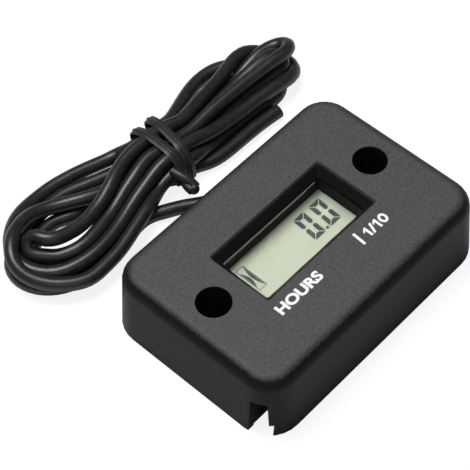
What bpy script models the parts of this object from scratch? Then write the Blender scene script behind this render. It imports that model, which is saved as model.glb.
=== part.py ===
"""Hour meter with a clear window, a potted back and a pickup lead folded into a tied hank.

Metres, +Z up. The origin is the centre of the housing's base. +X runs along the legend, +Y away from it.
"""

import math

import bmesh
import bpy
from mathutils import Matrix, Vector

# Fits
FIT_GAP = 0.0003
FILM_GAP = 0.0001
POCKET_GAP = 0.0004
OVERRUN = 0.001

# Coin cell and its tabs
CELL_RADIUS = 0.0100
CELL_HEIGHT = 0.0025
CELL_CAP_INSET = 0.0012
CELL_STEP = 0.0004
TAB_THICKNESS = 0.00015
TAB_WIDTH = 0.0035
TAB_FOOT = 0.0016

# Circuit board: the cell takes one end, a strip of small parts the other
CELL_INSET = 0.0003
STRIP_WIDTH = 0.0103
BOARD_THICKNESS = 0.0010
BOARD_SIDE_GAP = 0.0007
BLOB_CLEARANCE = 0.00115
BLOB_RADIUS = 0.0032
BLOB_HEIGHT = 0.0011
CRYSTAL_INSET = 0.0061
CRYSTAL_CLEARANCE = 0.0008
CRYSTAL_LENGTH = 0.0060
CRYSTAL_RADIUS = 0.0010
CHIP_LENGTH = 0.0017
CHIP_WIDTH = 0.00125
CHIP_HEIGHT = 0.0007
CHIP_PITCH = 0.0022
CHIP_COUNT = 3
DIODE_INSET = 0.0015
DIODE_SHIFT = 0.0004
DIODE_LENGTH = 0.0036
DIODE_RADIUS = 0.0008

# Frame between lens and board
FRAME_WALL = 0.0009
FRAME_PLAY = 0.0003
HOOK_WIDTH = 0.0030
HOOK_THICKNESS = 0.0006
HOOK_LIP = 0.0003
HOOK_LIP_HEIGHT = 0.0004
HOOK_SPACING = 0.0110

# Display and window bezel
WINDOW_CENTRE_Y = 0.0011
WINDOW_WIDTH = 0.0144
BEZEL_SLOPE = 0.0016
BEZEL_CORNER_RADIUS = 0.0005
GLASS_THICKNESS = 0.0010
GLASS_BORDER = 0.00175
SEAL_BORDER = 0.0006
CONTACT_LEDGE = 0.0020
CONTACT_STRIP_WIDTH = 0.0014
CONTACT_STRIP_INSET = 0.0010
POLARISER_THICKNESS = 0.0002
POLARISER_BORDER = 0.0003
DISPLAY_LIFT = 0.0006
DISPLAY_DEPTH = 0.0065
LENS_THICKNESS = 0.0012
LENS_BORDER = 0.0018

# Housing shell
BODY_DRAFT = 0.0011
BASE_CORNER_RADIUS = 0.0067
TOP_CORNER_RADIUS = 0.0056
TOP_EDGE_RADIUS = 0.0025
WALL = 0.0021
ROOF = 0.0022
REBATE_DEPTH = 0.0030
REBATE_WIDTH = 0.00065

# Screw wells
SCREW_LINE_Y = 0.0010
HEAD_WELL_RADIUS = 0.00335
SHANK_HOLE_RADIUS = 0.0018
SCREW_SEAT_HEIGHT = 0.0040
POST_WALL = 0.0013
POST_MARGIN = 0.0020

# Ribs that fence the resin in, the channels outside them, and the notch that opens one
BAY_MARGIN = 0.0032
RIB_THICKNESS = 0.00145
RIB_END_GAP = 0.00037
RIB_SETBACK = 0.0002
CHANNEL_WIDTH = 0.00375
CORNER_NOTCH_HEIGHT = 0.0092
CORNER_NOTCH_SIDE = 0.0001

# Potting
POTTING_BASE = 0.0005
POTTING_COVER = 0.0009

# Pickup lead
LEAD_RADIUS = 0.00145
LEAD_INSET = 0.0018
LEAD_INNER_END_Y = 0.0060
OUTLET_CLEARANCE = 0.0003
OUTLET_SWEEP = 0.0020
SOLDER_RADIUS = 0.0010
CORE_RADIUS = 0.0004
CORE_LENGTH = 0.0014
LEAD_STEP = 0.0050
# Places that the free lead passes: bending in the channel, out through the wall, down to the
# floor and along to the hank
LEAD_ROUTE = (
    (0.0131, 0.0183, 0.0023),
    (0.0118, 0.0208, 0.0022),
    (0.0098, 0.0228, 0.0020),
    (0.0073, 0.0237, 0.0017),
    (0.0048, 0.02375, 0.0015),
    (0.0025, 0.0240, 0.00145),
    (0.0007, 0.0249, 0.00145),
    (-0.0008, 0.0263, 0.00145),
    (-0.0021, 0.0275, 0.00145),
    (-0.0035, 0.0284, 0.00145),
)

# Hank of folded lead
HANK_LEFT_X = -0.0364
HANK_RIGHT_X = 0.0413
HANK_WAIST_X = 0.0032
HANK_LEFT_HALF = 0.0100
HANK_RIGHT_HALF = 0.0077
HANK_WAIST_HALF = 0.0065
HANK_LOBE_Y = 0.0384
HANK_WAIST_Y = 0.0371
HANK_HEIGHT = 0.0080
HANK_LIFT = 0.0009
HANK_LIFT_LENGTH = 0.0090
HANK_EDGE = 0.0020
HANK_STEPS = 12
HANK_EDGE_STEPS = 4

# Twist tie
TIE_WIDTH = 0.0017
TIE_THICKNESS = 0.0004
TIE_FOOT_CORNER = 0.0006
TIE_CORNER_STEPS = 4
TIE_NEAR_X = (0.0017, 0.0038)
TIE_FAR_X = (0.0014, 0.0056)
TAIL_START = (0.0026, 0.0293, 0.0052)
TAIL_END = (0.0006, 0.0268, 0.0045)
TAIL_WIDTH = 0.0018
TAIL_THICKNESS = 0.0013
TAIL_TURNS = 0.75
TAIL_STEPS = 9

# Facets
CORNER_STEPS = 7
EDGE_STEPS = 6
ROUND_STEPS = 32
SMALL_ROUND_STEPS = 16
SMOOTH_ANGLE = math.radians(35)

# Heights, from the floor up
CELL_BASE = POTTING_BASE + POTTING_COVER + TAB_THICKNESS + FILM_GAP
CELL_TOP = CELL_BASE + CELL_HEIGHT
BOARD_UNDERSIDE = CELL_TOP + TAB_THICKNESS + 2 * FILM_GAP
BOARD_TOP = BOARD_UNDERSIDE + BOARD_THICKNESS
REAR_POLARISER_TOP = BOARD_TOP + DISPLAY_LIFT + POLARISER_THICKNESS
REAR_GLASS_TOP = REAR_POLARISER_TOP + FILM_GAP + GLASS_THICKNESS
FRONT_GLASS_TOP = REAR_GLASS_TOP + FILM_GAP + GLASS_THICKNESS
DISPLAY_TOP = FRONT_GLASS_TOP + FILM_GAP + POLARISER_THICKNESS
BODY_HEIGHT = DISPLAY_TOP + DISPLAY_DEPTH
ROOF_UNDERSIDE = BODY_HEIGHT - ROOF
LENS_TOP = ROOF_UNDERSIDE - FILM_GAP
LENS_BOTTOM = LENS_TOP - LENS_THICKNESS
FRAME_TOP = LENS_BOTTOM - FILM_GAP
MODULE_FLOOR = BOARD_UNDERSIDE - POCKET_GAP
OUTLET_HEIGHT = (POTTING_BASE + MODULE_FLOOR) / 2
OUTLET_RADIUS = LEAD_RADIUS + OUTLET_CLEARANCE

# Lengths, from the cell and the board outwards
BOARD_LENGTH = CELL_INSET + 2 * CELL_RADIUS + STRIP_WIDTH
FRAME_LENGTH = BOARD_LENGTH + 2 * (FIT_GAP + HOOK_THICKNESS)
FRAME_POCKET_LENGTH = FRAME_LENGTH - 2 * FRAME_WALL
GLASS_LENGTH = FRAME_POCKET_LENGTH - 2 * FRAME_PLAY
OPENING_LENGTH = GLASS_LENGTH - 2 * GLASS_BORDER
WINDOW_LENGTH = OPENING_LENGTH + 2 * BEZEL_SLOPE
POST_RADIUS = HEAD_WELL_RADIUS + POST_WALL
SCREW_SPACING = FRAME_LENGTH + 2 * (POCKET_GAP + POST_RADIUS)
BODY_LENGTH = SCREW_SPACING + 2 * (POST_RADIUS + POST_MARGIN + WALL)
RIB_END_X = BODY_LENGTH / 2 - WALL + RIB_END_GAP
CELL_CENTRE = (CELL_INSET + CELL_RADIUS - BOARD_LENGTH / 2, 0.0)
STRIP_START_X = BOARD_LENGTH / 2 - STRIP_WIDTH
LEAD_X = BOARD_LENGTH / 2 - LEAD_INSET
TAB_END_X = STRIP_START_X + FIT_GAP + TAB_FOOT

# Widths
OPENING_WIDTH = WINDOW_WIDTH - 2 * BEZEL_SLOPE
REAR_GLASS_WIDTH = OPENING_WIDTH + 2 * SEAL_BORDER
FRONT_GLASS_WIDTH = REAR_GLASS_WIDTH + 2 * CONTACT_LEDGE
FRAME_POCKET_WIDTH = FRONT_GLASS_WIDTH + 2 * FRAME_PLAY
FRAME_WIDTH = FRAME_POCKET_WIDTH + 2 * FRAME_WALL
RIB_INNER_Y = CELL_RADIUS + BAY_MARGIN
RIB_OUTER_Y = RIB_INNER_Y + RIB_THICKNESS
BODY_WIDTH = 2 * (RIB_OUTER_Y + CHANNEL_WIDTH + WALL)
BOARD_WIDTH = 2 * (RIB_INNER_Y - BOARD_SIDE_GAP)

# Places of the small parts under the board
CHIP_ROW_CENTRE = (TAB_END_X + FIT_GAP + (CHIP_WIDTH + CHIP_PITCH) / 2, 0.0)
CHIP_SPAN = CHIP_PITCH * (CHIP_COUNT - 1) + CHIP_LENGTH
BLOB_CENTRE = (STRIP_START_X + STRIP_WIDTH / 2, -CHIP_SPAN / 2 - BLOB_CLEARANCE - BLOB_RADIUS)
CRYSTAL_X = LEAD_X - LEAD_RADIUS - CRYSTAL_CLEARANCE - CRYSTAL_LENGTH / 2
CRYSTAL_CENTRE = (CRYSTAL_X, BOARD_WIDTH / 2 - CRYSTAL_INSET)
DIODE_CENTRE = (STRIP_START_X - DIODE_SHIFT, DIODE_INSET - BOARD_WIDTH / 2)


def clear_scene():
    for thing in list(bpy.data.objects):
        bpy.data.objects.remove(thing, do_unlink=True)


def material(name, colour, roughness, metallic=0.0):
    made = bpy.data.materials.new(name)
    made.use_nodes = True
    shader = made.node_tree.nodes["Principled BSDF"]
    shader.inputs["Base Color"].default_value = (*colour, 1.0)
    shader.inputs["Roughness"].default_value = roughness
    shader.inputs["Metallic"].default_value = metallic
    return made


def rounded_ring(length, width, radius, height, centre=(0.0, 0.0), steps=CORNER_STEPS):
    """A rounded rectangle at one height, counter-clockwise from above."""
    points = []
    for quarter, (side_x, side_y) in enumerate(((1, 1), (-1, 1), (-1, -1), (1, -1))):
        corner_x = centre[0] + side_x * (length / 2 - radius)
        corner_y = centre[1] + side_y * (width / 2 - radius)
        for step in range(steps + 1):
            angle = (quarter + step / steps) * math.pi / 2
            x = corner_x + radius * math.cos(angle)
            y = corner_y + radius * math.sin(angle)
            points.append((x, y, height))
    return points


def mesh_object(name, bm, finish=None):
    bmesh.ops.recalc_face_normals(bm, faces=bm.faces)
    mesh = bpy.data.meshes.new(name)
    bm.to_mesh(mesh)
    bm.free()
    mesh.shade_smooth()
    mesh.set_sharp_from_angle(angle=SMOOTH_ANGLE)
    made = bpy.data.objects.new(name, mesh)
    bpy.context.scene.collection.objects.link(made)
    if finish is not None:
        mesh.materials.append(finish)
    return made


def loft(name, rings, finish=None):
    """Joins rings of equal count, one after the other, and closes both ends."""
    bm = bmesh.new()
    loops = [[bm.verts.new(point) for point in ring] for ring in rings]
    count = len(loops[0])
    for lower, upper in zip(loops, loops[1:]):
        for index in range(count):
            following = (index + 1) % count
            bm.faces.new((lower[index], lower[following], upper[following], upper[index]))
    bm.faces.new(list(reversed(loops[0])))
    bm.faces.new(loops[-1])
    return mesh_object(name, bm, finish)


def prism(name, outline, direction, finish=None):
    """Extrudes a closed flat outline along a vector."""
    bm = bmesh.new()
    face = bm.faces.new([bm.verts.new(point) for point in outline])
    grown = bmesh.ops.extrude_face_region(bm, geom=[face])
    moved = [part for part in grown["geom"] if isinstance(part, bmesh.types.BMVert)]
    bmesh.ops.translate(bm, verts=moved, vec=direction)
    return mesh_object(name, bm, finish)


def block(name, low, high, finish=None):
    """A box between two corners."""
    outline = [(low[0], low[1]), (high[0], low[1]), (high[0], high[1]), (low[0], high[1])]
    base = [(x, y, low[2]) for x, y in outline]
    return prism(name, base, (0, 0, high[2] - low[2]), finish)


def plate(name, length, width, bottom, top, centre=(0.0, 0.0), finish=None):
    """A box given by its size in plan, its centre and its two heights."""
    low = (centre[0] - length / 2, centre[1] - width / 2, bottom)
    high = (centre[0] + length / 2, centre[1] + width / 2, top)
    return block(name, low, high, finish)


def revolve(name, profile, centre, finish=None, steps=ROUND_STEPS):
    """Turns a profile of (radius, height) pairs about a vertical line and closes its two ends flat."""
    rings = []
    for radius, height in profile:
        ring = []
        for step in range(steps):
            angle = 2 * math.pi * step / steps
            ring.append((centre[0] + radius * math.cos(angle), centre[1] + radius * math.sin(angle), height))
        rings.append(ring)
    return loft(name, rings, finish)


def cylinder(name, radius, bottom, top, centre, finish=None, steps=ROUND_STEPS):
    return revolve(name, ((radius, bottom), (radius, top)), centre, finish, steps)


def operate(target, tool, operation):
    """Adds a Boolean to the target and hides its tool."""
    change = target.modifiers.new(tool.name, "BOOLEAN")
    change.operation = operation
    change.solver = "EXACT"
    change.object = tool
    tool.hide_render = True
    tool.display_type = "WIRE"


def cut(target, *tools):
    for tool in tools:
        operate(target, tool, "DIFFERENCE")


def fuse(target, *tools):
    for tool in tools:
        operate(target, tool, "UNION")


def wall_ring(inset, height):
    """The outer wall's outline at one height, moved in by an inset."""
    share = height / BODY_HEIGHT
    shrink = 2 * (BODY_DRAFT * share + inset)
    radius = BASE_CORNER_RADIUS + (TOP_CORNER_RADIUS - BASE_CORNER_RADIUS) * share - inset
    return rounded_ring(BODY_LENGTH - shrink, BODY_WIDTH - shrink, radius, height)


def shell_rings():
    """Rings from the inner roof down the inner wall, round the rim and up to the top face."""
    rings = [
        wall_ring(WALL, ROOF_UNDERSIDE),
        wall_ring(WALL, REBATE_DEPTH),
        wall_ring(WALL - REBATE_WIDTH, REBATE_DEPTH),
        wall_ring(WALL - REBATE_WIDTH, 0),
        wall_ring(0, 0),
    ]
    for step in range(EDGE_STEPS + 1):
        angle = step / EDGE_STEPS * math.pi / 2
        inset = TOP_EDGE_RADIUS * (1 - math.cos(angle))
        height = BODY_HEIGHT - TOP_EDGE_RADIUS * (1 - math.sin(angle))
        rings.append(wall_ring(inset, height))
    return rings


def bezel_cutter():
    """Slopes in from the top face to the lens, then runs straight through."""
    rise = OVERRUN / ROOF * BEZEL_SLOPE
    centre = (0.0, WINDOW_CENTRE_Y)
    radius = BEZEL_CORNER_RADIUS
    sizes = (
        (OPENING_LENGTH, OPENING_WIDTH, ROOF_UNDERSIDE - OVERRUN),
        (OPENING_LENGTH, OPENING_WIDTH, ROOF_UNDERSIDE),
        (WINDOW_LENGTH + 2 * rise, WINDOW_WIDTH + 2 * rise, BODY_HEIGHT + OVERRUN),
    )
    rings = [rounded_ring(length, width, radius, height, centre, 3) for length, width, height in sizes]
    return loft("bezel_cutter", rings)


def screw_centres():
    return ((-SCREW_SPACING / 2, SCREW_LINE_Y), (SCREW_SPACING / 2, SCREW_LINE_Y))


def well_cutter(name, centre):
    """Shank hole, flat seat and head well."""
    profile = (
        (SHANK_HOLE_RADIUS, -OVERRUN),
        (SHANK_HOLE_RADIUS, SCREW_SEAT_HEIGHT),
        (HEAD_WELL_RADIUS, SCREW_SEAT_HEIGHT),
        (HEAD_WELL_RADIUS, BODY_HEIGHT + OVERRUN),
    )
    return revolve(name, profile, centre)


def corner_notch_cutter():
    """Opens the end of the wiring channel through the short wall, stepped like the wall beside it."""
    rib_side = -RIB_OUTER_Y - CORNER_NOTCH_SIDE
    inner_side = -BODY_WIDTH / 2 + WALL + CORNER_NOTCH_SIDE
    rebate_side = inner_side - REBATE_WIDTH + BODY_DRAFT * REBATE_DEPTH / BODY_HEIGHT
    step_side = inner_side + BODY_DRAFT * REBATE_DEPTH / BODY_HEIGHT
    top_side = inner_side + BODY_DRAFT * CORNER_NOTCH_HEIGHT / BODY_HEIGHT
    profile = (
        (rib_side, -OVERRUN),
        (rib_side, CORNER_NOTCH_HEIGHT),
        (top_side, CORNER_NOTCH_HEIGHT),
        (step_side, REBATE_DEPTH),
        (rebate_side, REBATE_DEPTH),
        (rebate_side, -OVERRUN),
    )
    start = -BODY_LENGTH / 2 - OVERRUN
    outline = [(start, y, z) for y, z in profile]
    reach = OVERRUN + BASE_CORNER_RADIUS
    return prism("corner_notch_cutter", outline, (reach, 0, 0))


def outlet_profile(start_y, sweep):
    """An arch over the lead's axis, open at the bottom and widened to -X by the sweep."""
    points = [(LEAD_X + OUTLET_RADIUS, start_y, -OVERRUN)]
    steps = SMALL_ROUND_STEPS // 4
    for centre_x, first in ((LEAD_X, 0), (LEAD_X - sweep, steps)):
        for step in range(steps + 1):
            angle = (first + step) / steps * math.pi / 2
            x = centre_x + OUTLET_RADIUS * math.cos(angle)
            z = OUTLET_HEIGHT + OUTLET_RADIUS * math.sin(angle)
            points.append((x, start_y, z))
    points.append((LEAD_X - sweep - OUTLET_RADIUS, start_y, -OVERRUN))
    return points


def outlet_cutters():
    """A close arch through the rib, and a wide one through the wall for the bend of the lead."""
    start_y = RIB_INNER_Y - OVERRUN
    middle_y = RIB_OUTER_Y + CHANNEL_WIDTH / 2
    end_y = BODY_WIDTH / 2 + OVERRUN
    sweep = FILM_GAP
    yield prism("rib_outlet", outlet_profile(start_y, sweep), (0, middle_y - start_y, 0))
    yield prism("wall_outlet", outlet_profile(middle_y, OUTLET_SWEEP), (0, end_y - middle_y, 0))


def rib(name, side):
    """A fence along the shell, from its roof nearly to its base."""
    near = side * RIB_INNER_Y
    far = side * RIB_OUTER_Y
    low = (-RIB_END_X, min(near, far), RIB_SETBACK)
    high = (RIB_END_X, max(near, far), ROOF_UNDERSIDE + ROOF / 3)
    return block(name, low, high)


def housing():
    shell = loft("housing", shell_rings(), material("black_housing", (0.028, 0.028, 0.029), 0.55))
    posts = []
    wells = []
    for side, centre in zip(("left", "right"), screw_centres()):
        posts.append(cylinder(f"post_{side}", POST_RADIUS, 0, ROOF_UNDERSIDE + ROOF / 3, centre))
        wells.append(well_cutter(f"well_cutter_{side}", centre))
    slots = (rib("rib_near", -1), rib("rib_far", 1))
    trim = rib_trimmer()
    for slot in slots:
        operate(slot, trim, "INTERSECT")
    fuse(shell, *posts, *slots)
    cut(shell, *wells, bezel_cutter(), corner_notch_cutter(), *outlet_cutters())
    return shell


def rib_trimmer():
    """The shell's inside, grown into its walls, so that the ribs stop within them."""
    sink = WALL / 3
    rings = [wall_ring(WALL - sink, -OVERRUN), wall_ring(WALL - sink, BODY_HEIGHT)]
    return loft("rib_trimmer", rings)


def window_lens():
    length = OPENING_LENGTH + 2 * LENS_BORDER
    width = OPENING_WIDTH + 2 * LENS_BORDER
    finish = material("clear_lens", (0.92, 0.94, 0.95), 0.04)
    centre = (0.0, WINDOW_CENTRE_Y)
    return plate("window_lens", length, width, LENS_BOTTOM, LENS_TOP, centre, finish)


def lcd_frame():
    """Black spacer between lens and display, with four hooks that grip the board."""
    finish = material("black_frame", (0.015, 0.015, 0.016), 0.5)
    centre = (0.0, WINDOW_CENTRE_Y)
    skirt_bottom = BOARD_TOP + FILM_GAP
    pocket_top = DISPLAY_TOP + FILM_GAP
    frame = plate("lcd_frame", FRAME_LENGTH, FRAME_WIDTH, skirt_bottom, FRAME_TOP, centre, finish)
    pocket_bottom = skirt_bottom - OVERRUN
    pocket = plate(
        "pocket_cutter", FRAME_POCKET_LENGTH, FRAME_POCKET_WIDTH, pocket_bottom, pocket_top, centre
    )
    sight_top = FRAME_TOP + OVERRUN
    sight = plate("sight_cutter", OPENING_LENGTH, OPENING_WIDTH, pocket_bottom, sight_top, centre)
    cut(frame, pocket, sight)
    fuse(frame, *hooks())
    return frame


def hooks():
    """Snap arms on the frame's short walls, each with a lip under the board."""
    outer = FRAME_LENGTH / 2
    inner = outer - HOOK_THICKNESS
    lip_reach = BOARD_LENGTH / 2 - HOOK_LIP
    lip_top = BOARD_UNDERSIDE - FILM_GAP
    profile = (
        (inner, BOARD_TOP + FRAME_WALL),
        (outer, BOARD_TOP + FRAME_WALL),
        (outer, lip_top - HOOK_LIP_HEIGHT),
        (inner, lip_top - HOOK_LIP_HEIGHT),
        (lip_reach, lip_top - HOOK_LIP_HEIGHT / 2),
        (lip_reach, lip_top),
        (inner, lip_top),
    )
    made = []
    for side in (-1, 1):
        for row in (-1, 1):
            start = WINDOW_CENTRE_Y + row * HOOK_SPACING / 2 - HOOK_WIDTH / 2
            outline = [(side * x, start, z) for x, z in profile]
            made.append(prism(f"hook_{side}_{row}", outline, (0, HOOK_WIDTH, 0)))
    return made


def display():
    """Polarisers and glasses, each laid on the next."""
    centre = (0.0, WINDOW_CENTRE_Y)
    glass = material("display_glass", (0.60, 0.66, 0.58), 0.08)
    film = material("front_film", (0.62, 0.66, 0.55), 0.35)
    mirror = material("rear_film", (0.66, 0.69, 0.60), 0.45)
    layers = (
        ("lcd_front_polariser", FRONT_GLASS_WIDTH, POLARISER_BORDER, DISPLAY_TOP, POLARISER_THICKNESS, film),
        ("lcd_front_glass", FRONT_GLASS_WIDTH, 0.0, FRONT_GLASS_TOP, GLASS_THICKNESS, glass),
        ("lcd_rear_glass", REAR_GLASS_WIDTH, 0.0, REAR_GLASS_TOP, GLASS_THICKNESS, glass),
        ("lcd_rear_polariser", REAR_GLASS_WIDTH, POLARISER_BORDER, REAR_POLARISER_TOP,
         POLARISER_THICKNESS, mirror),
    )
    for name, width, border, top, thickness, finish in layers:
        length = GLASS_LENGTH - 2 * border
        plate(name, length, width - 2 * border, top - thickness, top, centre, finish)


def contact_strips():
    """Rubber strips between the front glass's two ledges and the board."""
    finish = material("contact_rubber", (0.10, 0.10, 0.11), 0.7)
    ledge = (FRONT_GLASS_WIDTH - REAR_GLASS_WIDTH) / 2
    offset = REAR_GLASS_WIDTH / 2 + ledge / 2
    top = FRONT_GLASS_TOP - GLASS_THICKNESS - FILM_GAP
    length = GLASS_LENGTH - 2 * CONTACT_STRIP_INSET
    for name, side in (("contact_strip_near", -1), ("contact_strip_far", 1)):
        centre = (0.0, WINDOW_CENTRE_Y + side * offset)
        plate(name, length, CONTACT_STRIP_WIDTH, BOARD_TOP + FILM_GAP, top, centre, finish)


def circuit_board():
    finish = material("board_green", (0.05, 0.22, 0.10), 0.45)
    return plate("circuit_board", BOARD_LENGTH, BOARD_WIDTH, BOARD_UNDERSIDE, BOARD_TOP, finish=finish)


def controller_blob():
    """Dome of resin over the bare controller chip."""
    top = BOARD_UNDERSIDE - FILM_GAP
    profile = []
    for step in range(EDGE_STEPS):
        angle = step / EDGE_STEPS * math.pi / 2
        profile.append((BLOB_RADIUS * math.cos(angle), top - BLOB_HEIGHT * math.sin(angle)))
    finish = material("controller_resin", (0.012, 0.012, 0.012), 0.3)
    return revolve("controller_blob", profile, BLOB_CENTRE, finish, 24)


def rod(name, radius, length, centre, axis_height, finish):
    """A cylinder lying along X under the board."""
    bm = bmesh.new()
    turn = Matrix.Rotation(math.pi / 2, 4, "Y")
    place = Matrix.Translation((centre[0], centre[1], axis_height)) @ turn
    bmesh.ops.create_cone(
        bm,
        cap_ends=True,
        segments=SMALL_ROUND_STEPS,
        radius1=radius,
        radius2=radius,
        depth=length,
        matrix=place,
    )
    return mesh_object(name, bm, finish)


def watch_crystal():
    finish = material("crystal_can", (0.72, 0.72, 0.70), 0.25, 1.0)
    height = BOARD_UNDERSIDE - FILM_GAP - CRYSTAL_RADIUS
    return rod("watch_crystal", CRYSTAL_RADIUS, CRYSTAL_LENGTH, CRYSTAL_CENTRE, height, finish)


def clamp_diode():
    finish = material("diode_glass", (0.45, 0.14, 0.06), 0.2)
    height = BOARD_UNDERSIDE - FILM_GAP - DIODE_RADIUS
    return rod("clamp_diode", DIODE_RADIUS, DIODE_LENGTH, DIODE_CENTRE, height, finish)


def chip_places():
    """Two rows of chip parts, capacitors and resistors, beside the cell."""
    for row, kind in ((-1, "chip_capacitor"), (1, "chip_resistor")):
        for index in range(CHIP_COUNT):
            x = CHIP_ROW_CENTRE[0] + row * CHIP_PITCH / 2
            y = CHIP_ROW_CENTRE[1] + (index - (CHIP_COUNT - 1) / 2) * CHIP_PITCH
            yield f"{kind}_{index + 1}", (x, y)


def chips():
    finishes = {
        "chip_capacitor": material("capacitor_ceramic", (0.40, 0.27, 0.16), 0.5),
        "chip_resistor": material("resistor_body", (0.03, 0.03, 0.03), 0.4),
    }
    top = BOARD_UNDERSIDE - FILM_GAP
    for name, centre in chip_places():
        finish = finishes[name.rsplit("_", 1)[0]]
        plate(name, CHIP_WIDTH, CHIP_LENGTH, top - CHIP_HEIGHT, top, centre, finish)


def coin_cell():
    """Can with its wider rim against the board and the smaller cap below."""
    edge = CELL_STEP / 2
    cap_radius = CELL_RADIUS - CELL_CAP_INSET
    profile = (
        (cap_radius - edge, CELL_BASE),
        (cap_radius, CELL_BASE + edge),
        (cap_radius, CELL_BASE + CELL_STEP),
        (CELL_RADIUS - edge, CELL_BASE + CELL_STEP),
        (CELL_RADIUS, CELL_BASE + CELL_STEP + edge),
        (CELL_RADIUS, CELL_TOP - edge),
        (CELL_RADIUS - edge, CELL_TOP),
    )
    finish = material("cell_steel", (0.75, 0.75, 0.74), 0.28, 1.0)
    return revolve("coin_cell", profile, CELL_CENTRE, finish, 48)


def cell_tabs():
    """Welded strips: a flat one above the can, and one that steps up to the board beside it."""
    finish = material("tab_nickel", (0.66, 0.64, 0.58), 0.3, 1.0)
    top_low = CELL_TOP + FILM_GAP
    left = CELL_CENTRE[0] - CELL_RADIUS
    low = (left, -TAB_WIDTH / 2, top_low)
    high = (CELL_CENTRE[0] + TAB_WIDTH, TAB_WIDTH / 2, top_low + TAB_THICKNESS)
    block("cell_tab_top", low, high, finish)
    strip_top = CELL_BASE - FILM_GAP
    strip_low = strip_top - TAB_THICKNESS
    rise_x = TAB_END_X - TAB_FOOT
    foot_low = BOARD_UNDERSIDE - FILM_GAP - TAB_THICKNESS
    profile = (
        (CELL_CENTRE[0] - TAB_WIDTH, strip_low),
        (rise_x + TAB_THICKNESS, strip_low),
        (rise_x + TAB_THICKNESS, foot_low),
        (TAB_END_X, foot_low),
        (TAB_END_X, foot_low + TAB_THICKNESS),
        (rise_x, foot_low + TAB_THICKNESS),
        (rise_x, strip_top),
        (CELL_CENTRE[0] - TAB_WIDTH, strip_top),
    )
    outline = [(x, -TAB_WIDTH / 2, z) for x, z in profile]
    prism("cell_tab_bottom", outline, (0, TAB_WIDTH, 0), finish)


def potting_body():
    """Resin poured in from the back: under the board, and up round both screw posts."""
    sink = WALL + POCKET_GAP
    rings = []
    for height in (POTTING_BASE, ROOF_UNDERSIDE - POCKET_GAP):
        inset = BODY_DRAFT * height / BODY_HEIGHT + sink
        width = 2 * (RIB_INNER_Y - FIT_GAP)
        rings.append(rounded_ring(BODY_LENGTH - 2 * inset, width, POCKET_GAP, height, steps=2))
    return loft("potting", rings, material("potting_resin", (0.010, 0.010, 0.011), 0.22))


def module_cutter():
    """Room for frame and board, which the resin runs up to on both sides."""
    length = FRAME_LENGTH + 2 * FIT_GAP
    return plate("module_cutter", length, BODY_WIDTH, MODULE_FLOOR, BODY_HEIGHT)


def pocket(name, length, width, bottom, centre):
    """Room in the resin for one piece under the board."""
    return plate(name, length + 2 * POCKET_GAP, width + 2 * POCKET_GAP, bottom - POCKET_GAP, BOARD_TOP, centre)


def round_pocket(name, radius, bottom, centre):
    return cylinder(name, radius + POCKET_GAP, bottom - POCKET_GAP, BOARD_TOP, centre, steps=48)


def potting_pockets():
    underside = BOARD_UNDERSIDE - FILM_GAP
    tab_low = CELL_BASE - FILM_GAP - TAB_THICKNESS
    tab_left = CELL_CENTRE[0] - TAB_WIDTH
    tab_centre = ((tab_left + TAB_END_X) / 2, 0.0)
    chip_low = underside - CHIP_HEIGHT
    hook_low = BOARD_UNDERSIDE - FILM_GAP - HOOK_LIP_HEIGHT
    crystal_low = underside - 2 * CRYSTAL_RADIUS
    diode_low = underside - 2 * DIODE_RADIUS
    yield round_pocket("cell_pocket", CELL_RADIUS, CELL_BASE, CELL_CENTRE)
    yield pocket("tab_pocket", TAB_END_X - tab_left, TAB_WIDTH, tab_low, tab_centre)
    yield round_pocket("blob_pocket", BLOB_RADIUS, underside - BLOB_HEIGHT, BLOB_CENTRE)
    yield pocket("chip_pocket", CHIP_PITCH + CHIP_WIDTH, CHIP_SPAN, chip_low, CHIP_ROW_CENTRE)
    yield pocket("crystal_pocket", CRYSTAL_LENGTH, 2 * CRYSTAL_RADIUS, crystal_low, CRYSTAL_CENTRE)
    yield pocket("diode_pocket", DIODE_LENGTH, 2 * DIODE_RADIUS, diode_low, DIODE_CENTRE)
    for side in (-1, 1):
        centre = (side * (FRAME_LENGTH / 2 - HOOK_THICKNESS / 2), WINDOW_CENTRE_Y)
        length = 2 * (HOOK_THICKNESS + HOOK_LIP)
        yield pocket(f"hook_pocket_{side}", length, HOOK_SPACING + HOOK_WIDTH, hook_low, centre)


def lead_pocket():
    """Round bore in the resin for the lead's inner end, with a slot above it for the soldered core."""
    start = LEAD_INNER_END_Y - FIT_GAP
    place = Matrix.Translation((LEAD_X, (start + RIB_OUTER_Y) / 2, OUTLET_HEIGHT))
    turn = Matrix.Rotation(math.pi / 2, 4, "X")
    bm = bmesh.new()
    bmesh.ops.create_cone(
        bm,
        cap_ends=True,
        segments=SMALL_ROUND_STEPS,
        radius1=LEAD_RADIUS + 2 * FILM_GAP,
        radius2=LEAD_RADIUS + 2 * FILM_GAP,
        depth=RIB_OUTER_Y - start,
        matrix=place @ turn,
    )
    bore = mesh_object("lead_bore", bm)
    slot_start = LEAD_INNER_END_Y - CORE_LENGTH - SOLDER_RADIUS
    slot_length = LEAD_INNER_END_Y + FIT_GAP - slot_start
    centre = (LEAD_X, slot_start + slot_length / 2)
    slot = pocket("core_slot", 2 * SOLDER_RADIUS, slot_length, OUTLET_HEIGHT - CORE_RADIUS, centre)
    return bore, slot


def potting():
    body = potting_body()
    posts = []
    for side, centre in zip(("left", "right"), screw_centres()):
        radius = POST_RADIUS + FIT_GAP
        posts.append(cylinder(f"post_clearance_{side}", radius, -OVERRUN, BODY_HEIGHT, centre))
    cut(body, module_cutter(), *posts, *potting_pockets(), *lead_pocket())
    return body


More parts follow.
